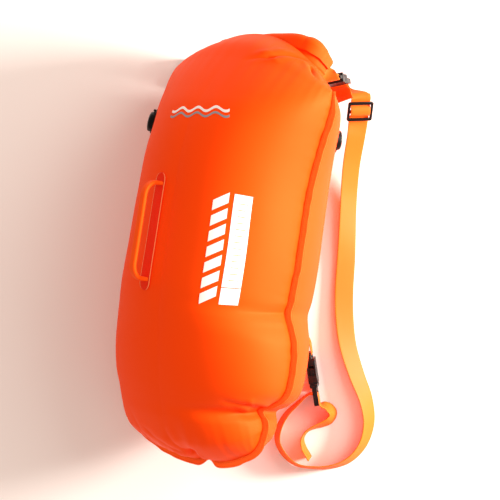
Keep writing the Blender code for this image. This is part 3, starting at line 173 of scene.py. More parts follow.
BACK_FOLDS = [
    ((24.0, -0.3300), (2.0, -0.3360), 0.0010, 0.0040, 0.0040),
    ((60.0, -0.3700), (70.0, -0.4000), 0.0004, 0.0024, 0.0040),
    ((95.0, -0.3800), (80.6, -0.4080), 0.0004, 0.0030, 0.0040),
    ((120.0, -0.3600), (112.0, -0.3960), 0.0004, 0.0026, 0.0040),
    ((152.0, 0.3300), (128.0, 0.3750), 0.0004, 0.0028, 0.0040),
    ((40.0, 0.3400), (58.0, 0.3780), 0.0004, 0.0026, 0.0040),
]
# Where the bottom seam is pinched in: place across, depth and half width in metres
NOTCHES = [(0.0171, 0.0095, 0.0082), (-0.0640, 0.0012, 0.0080), (0.0660, 0.0014, 0.0080)]
# How far up the wall the pinches reach, and how much fuller its quarter points are
PINCH_REACH, WALL_FULLNESS = 0.012, 0.045
LAST_ROW = len(SECTION_SHARES) - 1
CHAMBER_ROWS, CHAMBER_COLUMNS = 400, 200
# Distances from the seam over which ripples gather, start and let the folds start, and
# the share of the bag's length past which its ends ripple, with its reach
GATHER, GATHER_START, EDGE, END_SHARE, END_REACH = 0.015, 0.004, 0.012, 0.30, 0.09

# Valves and the anchor patch: angle round the wall in degrees and place along the bag
FRONT_VALVE, BACK_VALVE, ANCHOR = (144, 0.139), (44, 0.151), (72, -0.064)
ANCHOR_LENGTH, ANCHOR_WIDTH, ANCHOR_PLY, ANCHOR_RISE = 0.046, 0.036, 0.0012, 0.0011
HANDLE_BASE_WIDTH, HANDLE_BASE_RISE, GRIP_CORNER, GRIP_LIFT = 0.018, 0.0012, 0.016, 0.0016
# Spots that fittings hold flat: angle, place along, and half sizes round and along
FRONT_CALM = [(*FRONT_VALVE, 0.019, 0.019), (101.5, 0.009, 0.012, 0.072)]
BACK_CALM = [(*BACK_VALVE, 0.019, 0.019), (*ANCHOR, 0.022, 0.027)]
WELL_RADIUS, WELL_SLOPE, WELL_DEPTH = 0.0140, 0.0042, 0.0105

# Moulded fittings: the bars and slots that webbing goes round, along the fitting
SOCKET_BAR = 0.0036
LADDER, LADDER_BAR, LADDER_SLOT, LADDER_SLOT_2 = 0.0505, 0.0032, 0.006, 0.005
END_BAR = 0.0036
ADJUSTER_LENGTH, ADJUSTER_THICKNESS = 0.026, 0.003
ADJUSTER_RAIL, ADJUSTER_BAR = 0.0035, 0.004
# Their places as shares of the bag's length, their ways along and their ways across
UPPER_BUCKLE = ((0.1721, 0.4260, 0.2163), (0.22, 0.06, -0.974), (0.93, 0.32, 0.20))
LOWER_BUCKLE = ((0.2304, -0.2160, 0.0327), (0.291, -0.957, 0), (-0.09, -0.03, 0.995))
ADJUSTER = ((0.2612, 0.3742, 0.1058), (0.06, -0.84, -0.54), (0.96, 0.06, -0.28))
FREE_BUCKLE = ((-0.1000, 0.4067, 0.0135), (-0.98, 0.17, 0), (-0.17, -0.98, 0))
WEBBING_STEP = 0.0014
# Rows of the strap's route from the adjuster that lie still when the lower plug slides
STILL_ROWS = 15
# Where the strap lets go of the lower plug and where the bag holds it
LOOSE_START, LOOSE_END = (0.120, -0.185, 0.015), (0.130, -0.2585, 0.015)

# Print: corners on the front panel, each an angle in degrees and a share of the length
LABEL_CORNERS = [(48.77, -0.1188), (49.67, 0.1228), (38.95, 0.1220), (37.23, -0.1153)]
BAR_CORNERS = [(60.76, -0.1242), (61.66, 0.1203), (52.65, 0.1242), (51.05, -0.1191)]
WAVE_CORNERS = [(108.0, 0.2980), (67.5, 0.3120), (63.5, 0.2830), (108.0, 0.2700)]
INK_LIFT, INK_FOOT, TICK_LIFT = 0.00035, 0.00005, 0.0006
TICKS, FIRST_TICK, TICK_STEP, TICK_SHARE = 13, 0.22, 0.058, 0.006
BARS, BAR_SHARE, BAR_GAP, BAR_REACH, BAR_SLANT = 7, 0.10, 0.05, 0.93, 0.07

# Stage: half the camera's view in degrees, its place and turn, and the sky's warm tone
SENSOR, HALF_VIEW, CAMERA_PLACE, CAMERA_TURN = 36.0, 10.1, (0.026, 0.004, 1.8), 8.5
FLOOR_SIDE, FLOOR_HEIGHT = 4.0, -0.0005
WARM_AIR = (1.0, 0.80, 0.70, 1)


def linear(hex_colour):
    """sRGB hex to a linear colour."""
    parts = [int(hex_colour[i:i + 2], 16) / 255 for i in (0, 2, 4)]
    return tuple(c / 12.92 if c <= 0.04045 else ((c + 0.055) / 1.055) ** 2.4 for c in parts)


def metres(name, default, description):
    """A length."""
    return bpy.props.FloatProperty(name=name, description=description, default=default,
                                   unit="LENGTH")


def degrees(name, default, description):
    """An angle, given in degrees."""
    return bpy.props.FloatProperty(name=name, description=description,
                                   default=math.radians(default), subtype="ANGLE")


def dye(name, default, description):
    """A colour, given as sRGB hex."""
    return bpy.props.FloatVectorProperty(name=name, description=description,
                                         default=linear(default), subtype="COLOR",
                                         min=0, max=1)


class BuoyShape(bpy.types.PropertyGroup):
    """Sizes of the bag and the sheets that it is welded from."""
    length: metres("Bag length", 0.520, "Length that the section table is a share of")
    seam_half_width: metres("Seam half width", 0.101, "From the bag's middle to its seams")
    chamber_height: metres("Chamber height", 0.117, "From the seams to a chamber's crown")
    axis_height: metres("Axis height", 0.106, "Height of the seams' middle over the floor")
    roll: degrees("Roll", 36, "How far the bag is rolled round its long axis")
    clearance: metres("Clearance", 0.0003, "Gap between pieces that touch")
    sheet: metres("Sheet", 0.0016, "Thickness of the welded sheets")
    band_width: metres("Seam band", 0.008, "How far the welded seam stands out")
    band_inset: metres("Seam inset", 0.005, "How far its band reaches between the chambers")
    wrinkle: metres("Wrinkles", 0.0008, "Height of the ripples that gather at the seams")


class BuoyFittings(bpy.types.PropertyGroup):
    """Sizes of the roll-top, the handle, the webbing and the buckles."""
    roll_width: metres("Roll width", 0.035, "Width of the flat roll")
    roll_ply: metres("Roll ply", 0.0016, "Thickness of one turn of the roll")
    roll_pitch: metres("Roll pitch", 0.0025, "From one turn of the roll to the next")
    roll_turns: bpy.props.FloatProperty(name="Roll turns", description="Turns in the roll",
                                        default=2.5)
    stiffener: metres("Stiffener", 0.0022, "Thickness of the strip in the roll's middle")
    handle_angle: degrees("Handle angle", 101.5, "Place of the handle round the panel")
    handle_middle: metres("Handle middle", 0.009, "Place of the handle along the bag")
    handle_base: metres("Handle base", 0.137, "Length of the handle's welded base")
    grip_length: metres("Grip length", 0.116, "Length of the handle's grip")
    grip_width: metres("Grip width", 0.0085, "Width of the handle's grip")
    grip_thickness: metres("Grip thickness", 0.005, "Thickness of the handle's grip")
    grip_rise: metres("Grip rise", 0.0235, "Height of the grip over its base")
    webbing_width: metres("Webbing width", 0.025, "Width of the strap")
    webbing_thickness: metres("Webbing thickness", 0.0014, "Thickness of the strap")


class BuoyColours(bpy.types.PropertyGroup):
    """Colours of the fabric, webbing, fittings and print."""
    fabric: dye("Fabric", "ff4806", "Film-coated fabric of the bag")
    band: dye("Seam band", "ff7030", "Welded seam and patches")
    webbing: dye("Webbing", "f98c28", "Strap and tabs")
    plastic: dye("Fittings", "100d0d", "Moulded acetal of buckles and valves")
    print_ink: dye("Print", "fbf8f4", "Ink of the bars and the label")


def shape():
    return bpy.context.scene.buoy_shape


def fittings():
    return bpy.context.scene.buoy_fittings


def colours():
    return bpy.context.scene.buoy_colours


# Surfaces: steps in radians and in rows that a normal is worked out from, and the
# shortest and longest ripple with their number
TURN_STEP, ROW_STEP = 0.01, 0.02
SHORT_RIPPLE, LONG_RIPPLE, RIPPLES = 0.022, 0.075, 5


def smooth(t):
    """Smooth step from 0 to 1: three squares minus two cubes."""
    t = np.clip(t, 0, 1)
    return t * t * (3 - 2 * t)


def added_up(steps):
    """Running total of the steps, from nothing."""
    return np.concatenate([[0], np.cumsum(steps)])


def travelled(points):
    """Distance run at each point of a line."""
    return added_up(np.linalg.norm(np.diff(points, axis=0), axis=1))


def read_off(at, run, rows):
    """Rows of values at other places of the run."""
    return np.stack([np.interp(at, run, c) for c in rows.T], axis=1)


def catmull(rows, places):
    """Each value follows a Catmull-Rom curve: half the sum of 2 b, (c - a) t,
    (2 a - 5 b + 4 c - d) t squared and (3 b - a - 3 c + d) t cubed."""
    rows = np.asarray(rows, dtype=float)
    padded = np.vstack([2 * rows[0] - rows[1], rows, 2 * rows[-1] - rows[-2]])
    k = np.clip(np.floor(places).astype(int), 0, len(rows) - 2)
    t = (np.asarray(places) - k)[..., None]
    a, b, c, d = (padded[k + i] for i in range(4))
    return 0.5 * (2 * b + (c - a) * t + (2 * a - 5 * b + 4 * c - d) * t ** 2
                  + (3 * b - a - 3 * c + d) * t ** 3)


def section(places):
    """Section values in metres at fractional rows of the table."""
    size = shape()
    scale = [size.length, size.seam_half_width, size.seam_half_width,
             size.chamber_height, size.chamber_height, size.length, size.length, 1]
    values = catmull(np.array(SECTION_SHARES) * scale, places)
    values[..., 3:5] = np.maximum(values[..., 3:5], 0)
    return values


def dense_sections(count=1200):
    """Evenly spread rows of the table, with their section values."""
    places = np.linspace(0, LAST_ROW, count)
    return places, section(places)


def place_of(along):
    """Fractional row of the table at a place along the bag."""
    places, values = dense_sections()
    return np.interp(along, values[:, 0], places)


def parting():
    """From the seam's middle to a chamber: half a sheet and the clearance."""
    return shape().sheet / 2 + shape().clearance


def bare_wall(angle, place, back):
    """A chamber's wall: s is the half width times the cosine of the angle, n the height
    times its sine, both fuller at the quarter points by 4.5% of the sine of twice the
    angle, so that the wall dips towards the seams. The roll-top's end bows out as the
    squared sine, the other end as the sine, and there the seam's pinches draw it in."""
    values = section(place)
    y, right, left, front, rear, front_bow, rear_bow, slant = np.moveaxis(values, -1, 0)
    height, bow = (rear, rear_bow) if back else (front, front_bow)
    seam = np.where(np.cos(angle) > 0, right, left)
    share = height / shape().chamber_height
    full = 1 + WALL_FULLNESS * share * np.abs(np.sin(2 * angle))
    rise = np.sin(angle)
    s = seam * np.cos(angle) * full
    n = parting() + height * rise * full
    along = y + slant * s + bow * np.where(y > 0, rise * rise, rise)
    low = SECTION_SHARES[0][0] * shape().length
    along = along + pinched(s) * np.exp(-np.maximum(y - low, 0) / PINCH_REACH) * (y < 0)
    return np.stack([s, along, -n if back else n], axis=-1)


def pinched(across):
    """How far the bottom seam is drawn in: a bell curve at each pinch."""
    return sum(depth * np.exp(-((across - middle) / wide) ** 2)
               for middle, depth, wide in NOTCHES)


def wall_normal(angle, place, back):
    """Unit normal: the cross product of the wall's two slopes, facing out."""
    turn, run = (
        bare_wall(angle + a, place + p, back) - bare_wall(angle - a, place - p, back)
        for a, p in ((TURN_STEP, 0), (0, ROW_STEP)))
    normal = np.cross(run, turn) * (-1 if back else 1)
    return normal / np.maximum(np.linalg.norm(normal, axis=-1), 1e-9)[..., None]


def ripples(across, along, seed):
    """Sum of five sines of unlike lengths and directions, from -1 to 1."""
    rng = np.random.default_rng(seed)
    total = np.zeros(np.broadcast(across, along).shape)
    for length, turn, start in zip(rng.uniform(SHORT_RIPPLE, LONG_RIPPLE, RIPPLES),
                                   rng.uniform(0, math.pi, RIPPLES),
                                   rng.uniform(0, 6.28, RIPPLES)):
        run = across * math.cos(turn) + along * math.sin(turn)
        total = total + np.sin(2 * math.pi * run / length + start)
    return total / RIPPLES


def spread(angle, place, back):
    """Distances on a wall laid flat: round it from its crown, by the mean of the half
    width and the height, and along its crown."""
    places, values = dense_sections()
    height, bow = (values[:, k] for k in ((4, 6) if back else (3, 5)))
    run = travelled(np.stack([values[:, 0] + bow, height], 1))
    round_it = (values[:, 1] + height) / 2
    return ((angle - math.pi / 2) * np.interp(place, places, round_it),
            np.interp(place, places, run))


def fold_depth(angle, place, back):
    """Sum over folds of a sharp groove, minus the depth times the exponential of one
    minus the root of one plus the squared distance over the width, with a round ridge
    on each side of it. The depth changes evenly from one end to the other."""
    total = 0
    u, v = spread(angle, place, back)
    for (a0, y0), (a1, y1), first, last, width in BACK_FOLDS if back else FRONT_FOLDS:
        p, q = (np.array(spread(math.radians(a), place_of(y * shape().length), back))
                for a, y in ((a0, y0), (a1, y1)))
        length = np.linalg.norm(q - p)
        way = (q - p) / length
        run = (u - p[0]) * way[0] + (v - p[1]) * way[1]
        off = (v - p[1]) * way[0] - (u - p[0]) * way[1]
        past = np.maximum(np.maximum(-run, run - length), 0)
        depth = first + (last - first) * np.clip(run / length, 0, 1)
        near = depth * np.exp(-(past / (1.5 * width)) ** 2)
        groove = np.exp(1 - np.sqrt(1 + (off / (0.4 * width)) ** 2))
        ridge = np.exp(-((np.abs(off) - 2.2 * width) / (1.3 * width)) ** 2)
        total = total + near * (0.35 * ridge - groove)
    return total


def calm(angle, along, spots):
    """0 on the fittings welded to a panel and 1 away from them, by a smooth step."""
    keep, radius = 1.0, shape().chamber_height
    for spot_angle, spot_along, half_round, half_along in spots:
        d = np.hypot((angle - math.radians(spot_angle)) * radius / half_round,
                     (along - spot_along) / half_along)
        keep = keep * smooth((d - 1) / 0.8)
    return keep


def valve_well(angle, place, back):
    """Depth of the hollow in a chamber's skin that a valve's neck stands in."""
    spot_angle, spot_along = BACK_VALVE if back else FRONT_VALVE
    centre = bare_wall(np.array(math.radians(spot_angle)), place_of(spot_along), back)
    d = np.linalg.norm(bare_wall(angle, place, back) - centre, axis=-1)
    return WELL_DEPTH * smooth((WELL_RADIUS - d) / WELL_SLOPE)


def wrinkle_height(angle, place, back):
    """Folds, plus ripples that die away from the seams and ends, plus a slow swell."""
    size = shape()
    values = section(place)
    along = values[..., 0]
    radius = size.chamber_height
    from_seam = np.minimum(angle, math.pi - angle) * radius
    gather = np.exp(-(from_seam / GATHER) ** 2) * np.clip(from_seam / GATHER_START, 0, 1)
    from_middle = np.abs(along + 0.01 * size.length) / size.length
    end = np.clip((from_middle - END_SHARE) / END_REACH, 0, 1)
    side_ripple = ripples(angle * radius * 0.15, along * 2.2, 4 if back else 3)
    end_ripple = ripples(angle * radius * 1.7, along * 0.35, 14 if back else 13)
    swell = ripples(angle * radius * 0.5, along * 0.5, 8 if back else 7)
    edge = np.clip(from_seam / EDGE, 0, 1)
    height = size.wrinkle * (gather * 0.8 * side_ripple
                             + 0.5 * end ** 2 * edge * end_ripple)
    height = height + 0.35 * size.wrinkle * edge * swell
    height = height + fold_depth(angle, place, back) * edge
    closing = np.clip(values[..., 4 if back else 3] / (0.2 * radius), 0, 1)
    height = height * calm(angle, along, BACK_CALM if back else FRONT_CALM) * closing
    return height - valve_well(angle, place, back)


def wall(angle, place, back=False, lift=0.0):
    """Wall point moved along its normal by the wrinkles' height and a lift."""
    angle, place = np.broadcast_arrays(np.asarray(angle, float), np.asarray(place, float))
    high = wrinkle_height(angle, place, back) + lift
    return bare_wall(angle, place, back) + high[..., None] * wall_normal(angle, place, back)


def bag_matrix():
    """Lifts the bag's axis over the floor and rolls the bag round it."""
    move = Matrix.Translation((0, 0, shape().axis_height))
    return np.array(move @ Matrix.Rotation(-shape().roll, 4, "Y"))


def to_world(points):
    """Points of the bag's frame in the scene's."""
    turn = bag_matrix()
    return np.asarray(points) @ turn[:3, :3].T + turn[:3, 3]


def world_way(way):
    """Way of the bag's frame in the scene's."""
    return np.asarray(way) @ bag_matrix()[:3, :3].T


def above_floor(points):
    """World points with their height raised to the floor's where it is under it."""
    return np.concatenate([points[..., :2], np.maximum(points[..., 2:], 0)], axis=-1)


def skin(name, grid, material, sharp=40):
    """Closed skin over a grid of points (rows along, columns around) with flat ends, and
    a map whose two coordinates are the distances in metres along and around."""
    grid = np.asarray(grid, dtype=float)
    rows, columns = grid.shape[:2]
    k, i = np.meshgrid(np.arange(rows - 1), np.arange(columns), indexing="ij")
    m, j = k + 1, (i + 1) % columns
    faces = np.stack([k * columns + i, k * columns + j, m * columns + j, m * columns + i],
                     axis=-1).reshape(-1, 4).tolist()
    faces.append(list(range(columns))[::-1])
    faces.append([(rows - 1) * columns + c for c in range(columns)])
    mesh = bpy.data.meshes.new(name)
    mesh.from_pydata(grid.reshape(-1, 3).tolist(), [], faces)
    closed = np.concatenate([grid, grid[:, :1]], axis=1)
    over = added_up(np.linalg.norm(np.diff(closed, axis=1), axis=2).mean(axis=0))
    run = added_up(np.linalg.norm(np.diff(grid, axis=0), axis=2).mean(axis=1))
    corners = np.stack([np.stack([run[a], over[b]], -1) for a, b in
                        ((k, i), (k, i + 1), (m, i + 1), (m, i))], axis=2).reshape(-1, 2)
    layer = mesh.uv_layers.new(name="surface")
    values = np.zeros((len(mesh.loops), 2))
    values[:len(corners)] = corners
    layer.data.foreach_set("uv", values.ravel())
    return piece_of(name, mesh, material, sharp)


def piece_of(name, mesh, material, sharp):
    """Object from a mesh, its normals facing out and its edges sharp past an angle."""
    made = bmesh.new()
    made.from_mesh(mesh)
    bmesh.ops.recalc_face_normals(made, faces=made.faces)
    made.to_mesh(mesh)
    made.free()
    mesh.materials.append(material)
    mesh.shade_smooth()
    mesh.set_sharp_from_angle(angle=math.radians(sharp))
    piece = bpy.data.objects.new(name, mesh)
    bpy.context.scene.collection.objects.link(piece)
    return piece


def sheet_skin(name, upper, lower, material, sharp=40):
    """Skin round two grids of the same size, edge to edge."""
    rings = np.concatenate([upper, lower[:, ::-1]], axis=1)
    return skin(name, rings, material, sharp)


def stand_in(piece, node):
    """Puts a piece on the bag in the place of its plain solid."""
    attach(piece, "bag")
    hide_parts(node)


def unit(ways):
    """Ways divided by their lengths."""
    ways = np.asarray(ways, dtype=float)
    return ways / np.maximum(np.linalg.norm(ways, axis=-1), 1e-12)[..., None]


def sweep(section_points, middle, side, up):
    """Each section point (a, b) stands at the middle plus a times side plus b times up."""
    a, b = np.asarray(section_points)[..., 0], np.asarray(section_points)[..., 1]
    if a.ndim == 1:
        a, b = a[None], b[None]
    return (middle[:, None] + a[..., None] * side[:, None] + b[..., None] * up[:, None])


def rounded_section(half_width, half_height, radius, corner_points, flats):
    """Rectangle with its corners turned to a radius, anticlockwise, and its two long
    sides cut in flats."""
    points = []
    for quarter, (x, y) in enumerate(((1, 1), (-1, 1), (-1, -1), (1, -1))):
        middle = (x * (half_width - radius), y * (half_height - radius))
        for a in np.linspace(0, math.pi / 2, corner_points) + quarter * math.pi / 2:
            points.append((middle[0] + radius * math.cos(a),
                           middle[1] + radius * math.sin(a)))
        if quarter in (0, 2):
            end = (-x * (half_width - radius), points[-1][1])
            for t in np.linspace(0, 1, flats + 1)[1:-1]:
                points.append((middle[0] * (1 - t) + end[0] * t, end[1]))
    return np.array(points)


# Materials: scales of a wave texture and a brick texture that repeat each millimetre,
# and the weld's dashes: from one to the next, and half their width
WAVE_SCALE, BRICK_SCALE = 314.0, 1000.0
DASH_STEP, DASH_HALF = 0.0024, 0.00042


def add(tree, kind, settings=None, links=None):
    """Node of a kind, with values for its sockets or settings, and links into it."""
    node = tree.nodes.new("ShaderNode" + kind)
    for key, value in (settings or {}).items():
        if isinstance(key, int) or key in node.inputs:
            node.inputs[key].default_value = value
        else:
            setattr(node, key, value)
    for key, source in (links or {}).items():
        tree.links.new(source, node.inputs[key])
    return node


def new_material(name):
    """Material of a name, with its tree and its shader."""
    made = bpy.data.materials.new(name)
    made.use_nodes = True
    tree = made.node_tree
    shader = tree.nodes["Principled BSDF"]
    return made, tree, shader


def paint(colour):
    """Colour with full cover."""
    return (*colour, 1.0)


def set_values(shader, roughness, level, ior=1.5):
    """Shine of the surface: how rough, how strong and how refractive."""
    shader.inputs["Roughness"].default_value = roughness
    shader.inputs["Specular IOR Level"].default_value = level
    shader.inputs["IOR"].default_value = ior


def weave(tree, shader, how, threads, strength):
    """Raised threads: two crossed waves, each with its way, its thread spacing in mm and
    its distortion, put together by the larger of the two or by their product."""
    where = add(tree, "UVMap", {"uv_map": "surface"})
    waves = [add(tree, "TexWave", {"bands_direction": way, "Scale": WAVE_SCALE / spacing,
                                   "Distortion": distortion, "Detail": 1.0},
                 {"Vector": where.outputs["UV"]}) for way, spacing, distortion in threads]
    both = add(tree, "Math", {"operation": how},
               {k: wave.outputs["Fac"] for k, wave in enumerate(waves)})
    bump = add(tree, "Bump", {"Strength": strength, "Distance": 0.0002},
               {"Height": both.outputs[0]})
    tree.links.new(bump.outputs["Normal"], shader.inputs["Normal"])


def mottle(tree, shader, colour, darker, to_a_metre):
    """Slow change between the colour and a darker one of it, as dye and film vary, with
    so many patches to a metre."""
    where = add(tree, "TexCoord").outputs["Object"]
    noise = add(tree, "TexNoise", {"Scale": to_a_metre, "Detail": 3.0, "Roughness": 0.55},
                {"Vector": where})
    mix = add(tree, "Mix", {"data_type": "RGBA"}, {"Factor": noise.outputs["Fac"]})
    mix.inputs[6].default_value = paint(colour)
    mix.inputs[7].default_value = paint(tuple(c * d for c, d in zip(colour, darker)))
    tree.links.new(mix.outputs[2], shader.inputs["Base Color"])
    return mix.outputs[2], noise


def satin(shader, roughness):
    """A dyed film's sheen: strong, broad and of the dye's own hue where it faces us."""
    set_values(shader, roughness, 0.22)
    shader.inputs["Specular Tint"].default_value = paint((1.0, 0.85, 0.18))


def coated_fabric():
    """Polyester taffeta under a TPU film: the film gives a broad satin sheen, and the
    threads' 0.6 mm weave, drawn at 1.4 mm to show, barely prints through."""
    made, tree, shader = new_material("tpu_coated_taffeta")
    mottle(tree, shader, colours().fabric, (1.0, 0.86, 0.8), 9.0)
    weave(tree, shader, "MAXIMUM", (("X", 1.4, 0.6), ("Y", 1.4, 0.6)), 0.05)
    satin(shader, 0.62)
    return made


def dashes(tree, where, rows, filled):
    """1 on dashes of a row: where the distance across is within a half width of the row
    and the distance along, over the spacing, has a fraction under the filled share."""
    axes = add(tree, "SeparateXYZ", None, {"Vector": where.outputs["UV"]})
    share = add(tree, "Math", {"operation": "MULTIPLY", 1: 1 / DASH_STEP},
                {0: axes.outputs["X"]})
    share = add(tree, "Math", {"operation": "FRACT"}, {0: share.outputs[0]})
    share = add(tree, "Math", {"operation": "LESS_THAN", 1: filled}, {0: share.outputs[0]})
    found = None
    for row in rows:
        off = add(tree, "Math", {"operation": "SUBTRACT", 1: row}, {0: axes.outputs["Y"]})
        off = add(tree, "Math", {"operation": "ABSOLUTE"}, {0: off.outputs[0]})
        off = add(tree, "Math", {"operation": "LESS_THAN", 1: DASH_HALF},
                  {0: off.outputs[0]})
        if found:
            off = add(tree, "Math", {"operation": "MAXIMUM"},
                      {0: off.outputs[0], 1: found.outputs[0]})
        found = off
    return add(tree, "Math", {"operation": "MULTIPLY"},
               {0: found.outputs[0], 1: share.outputs[0]})


def tint(tree, shader, base, mask, colour):
    """Puts a colour over the base colour where the mask is 1."""
    mix = add(tree, "Mix", {"data_type": "RGBA"}, {0: mask.outputs[0], 6: base})
    mix.inputs[7].default_value = paint(colour)
    tree.links.new(mix.outputs[2], shader.inputs["Base Color"])


def moulded_tpu():
    """Solid dyed TPU of the handle's grip, paler than the film on the fabric."""
    made, tree, shader = new_material("moulded_tpu")
    mottle(tree, shader, linear("ff560f"), (1.0, 0.9, 0.85), 40.0)
    satin(shader, 0.6)
    return made


def welded_film(name="rf_welded_tpu", rows=(0.0022, 0.0066), filled=0.62, weld_dash_and_highlight="c93a10"):
    """High frequency welded TPU: the die leaves small square dimples, and two rows of
    dashes run along the seam's band, darker where the film is pressed thin. On the handle's
    base patch the whole film is a deep red that is painted shade of the grip standing over
    it, and the two rows are unbroken pale lines of painted highlight along its rim's bead."""
    made, tree, shader = new_material(name)
    whole = filled == 1
    # On the handle's patch this deep red is painted shade of the grip over it
    colour = linear("f02605") if whole else colours().band
    base, _ = mottle(tree, shader, colour, (1.0, 0.82, 0.75), 24.0)
    where = add(tree, "UVMap", {"uv_map": "surface"})
    if not whole:
        see_through(tree, shader, linear("ffae6a"), 0.45)
    # Weld dashes on the seam band; on the handle's patch, pale lines of painted highlight along the rim's
    # bead
    marks = dashes(tree, where, rows, filled)
    tint(tree, shader, base, marks, linear(weld_dash_and_highlight))
    grid = add(tree, "TexBrick", {"Scale": BRICK_SCALE / 1.6, "offset": 0.5,
                                  "Mortar Size": 0.14, "Mortar Smooth": 0.6,
                                  "Brick Width": 1.0, "Row Height": 1.0},
               {"Vector": where.outputs["UV"]})
    bump = add(tree, "Bump", {"Strength": 0.35, "Distance": 0.0003},
               {"Height": grid.outputs["Fac"]})
    tree.links.new(bump.outputs["Normal"], shader.inputs["Normal"])
    satin(shader, 0.55)
    return made


def see_through(tree, shader, colour, share):
    """Lets a share of the light through, as thin dyed film does."""
    glow = add(tree, "BsdfTranslucent", {"Color": paint(colour)})
    mix = add(tree, "MixShader", {0: share},
              {1: shader.outputs["BSDF"], 2: glow.outputs["BSDF"]})
    tree.links.new(mix.outputs["Shader"], tree.nodes["Material Output"].inputs["Surface"])


def strap_webbing():
    """Polyester webbing with a film face: close ribs 1.3 mm apart along its length, and
    its dye is paler than the bag's, glowing red where light comes through the edge."""
    made, tree, shader = new_material("film_faced_webbing")
    mottle(tree, shader, colours().webbing, (1.0, 0.92, 0.85), 30.0)
    weave(tree, shader, "MULTIPLY", (("X", 1.3, 0.4), ("Y", 1.7, 0.3)), 0.22)
    set_values(shader, 0.5, 0.25)
    see_through(tree, shader, linear("ff3a18"), 0.4)
    return made


def black_acetal():
    """Moulded acetal, fine spark-eroded texture: satin black, soft wide highlights."""
    made, tree, shader = new_material("moulded_acetal")
    _, noise = mottle(tree, shader, colours().plastic, (0.8, 0.78, 0.76), 160.0)
    bump = add(tree, "Bump", {"Strength": 0.12, "Distance": 0.0001},
               {"Height": noise.outputs["Fac"]})
    tree.links.new(bump.outputs["Normal"], shader.inputs["Normal"])
    set_values(shader, 0.42, 0.35, 1.48)
    return made


def plain(name, colour, roughness):
    """Ink, thread or moulding of one dye, a little uneven."""
    made, tree, shader = new_material(name)
    mottle(tree, shader, colour, (0.94, 0.94, 0.94), 60.0)
    shader.inputs["Roughness"].default_value = roughness
    return made


def finish(name):
    """The shared material of a name, made on first use."""
    makers = {
        "fabric": coated_fabric, "band": welded_film, "webbing": strap_webbing,
        # Handle base patch: deep red painted shade from the grip over it, and pale lines of painted
        # highlight along its rim
        "patch": lambda: welded_film("welded_patch_painted_shade_and_highlight", (0.0018, 0.0147), 1.0, "ffa06a"),
        "grip": moulded_tpu, "acetal": black_acetal,
        "ink": lambda: plain("tpu_screen_ink", colours().print_ink, 0.45),
        "pale_ink": lambda: plain("grey_screen_ink", linear("8f9aa0"), 0.45),
        "thread": lambda: plain("bonded_nylon_thread", linear("f0762a"), 0.55),
        "rubber": lambda: plain("moulded_silicone", linear("4a4a4b"), 0.6),
        "strip": lambda: plain("polypropylene_strip", linear("1d1d1f"), 0.5),
    }
    made = bpy.app.driver_namespace
    key = "finish_" + name
    if key not in made:
        made[key] = makers[name]()
    return made[key]


# Bag: the seam band's waves, its pressed line's place and width, and how its ends taper
BAND_WAVE, PRESS_PLACE, PRESS_WIDTH, PRESS_SHARE = 0.0014, 0.0045, 0.0016, 0.35
TAPER, TAPER_END, TAPER_REST = 0.030, 0.35, 0.65


def chamber_grid(back):
    """A chamber's wall at even rows and angles, kept over the floor."""
    places = np.linspace(0, LAST_ROW, CHAMBER_ROWS)
    angles = np.linspace(0, math.pi, CHAMBER_COLUMNS)
    return above_floor(to_world(wall(angles[None], places[:, None], back)))


def seam_line(stations=900):
    """The seam: down the right edge, round the bowed lower end and up the left edge, at
    even steps, with the way outwards."""
    _, values = dense_sections(500)
    right = np.stack([values[:, 1], values[:, 0] + values[:, 7] * values[:, 1]], 1)[::-1]
    left = np.stack([-values[:, 2], values[:, 0] - values[:, 7] * values[:, 2]], 1)
    end, turn = values[0], np.linspace(0, math.pi, 200)[1:-1]
    half = np.where(np.cos(turn) > 0, end[1], end[2])
    low = np.stack([half * np.cos(turn), end[0] + end[5] * np.sin(turn)], 1)
    low[:, 1] += pinched(low[:, 0])
    ways = [np.tile([1.0, 0.0], (len(right), 1)),
            np.stack([np.cos(turn), -np.sin(turn)], 1),
            np.tile([-1.0, 0.0], (len(left), 1))]
    line, ways = np.vstack([right, low, left]), np.vstack(ways)
    run = travelled(line)
    even = np.linspace(0, run[-1], stations)
    return read_off(even, run, line), unit(read_off(even, run, ways)), even


def make_seam_band():
    """Band of a flat rounded section carried along the seam; its outer part waves up and
    down by the ripples, thins where the weld presses it, and narrows at both ends."""
    size = shape()
    line, ways, run = seam_line()
    half = size.sheet / 2
    reach = (size.band_width + size.band_inset) / 2
    ring = rounded_section(reach, half, half * 0.9, 4, 12)
    across = ring[:, 0] + reach - size.band_inset
    free = np.clip(across / size.band_width, 0, 1)
    wave = ripples(run * 1.4, run * 0 + 0.3, 11) * BAND_WAVE
    press = 1 - PRESS_SHARE * np.exp(-((across - PRESS_PLACE) / PRESS_WIDTH) ** 2)
    grid = np.zeros((len(line), len(ring), 3))
    wide = TAPER_END + TAPER_REST * smooth(np.minimum(run, run[-1] - run) / TAPER)
    wide = wide * (1 + 0.05 * ripples(run * 1.1, run * 0, 12))
    out = np.maximum(across, 0)[None] * wide[:, None] + np.minimum(across, 0)[None]
    grid[..., 0] = line[:, None, 0] + out * ways[:, None, 0]
    grid[..., 1] = line[:, None, 1] + out * ways[:, None, 1]
    grid[..., 2] = ring[None, :, 1] * press[None] + wave[:, None] * free[None] ** 1.5
    return skin("seam_band", to_world(grid), finish("band"))


def liner_grid(sign):
    """Dry bag's sheet: rows across between the seam's inner edges, as a flat face."""
    size = shape()
    inset = size.band_inset + 3 * size.clearance
    line, ways, _ = seam_line(500)
    inner = line - inset * ways
    half = len(inner) // 2
    right, left = inner[:half], inner[::-1][:half]
    rows = np.linspace(0, half - 6, 120).astype(int)
    t = np.linspace(0, 1, 30)[None, :, None]
    flat = left[rows][:, None] * (1 - t) + right[rows][:, None] * t
    high = np.full(flat.shape[:2] + (1,), sign * size.sheet / 2)
    return to_world(np.concatenate([flat, high], axis=-1))


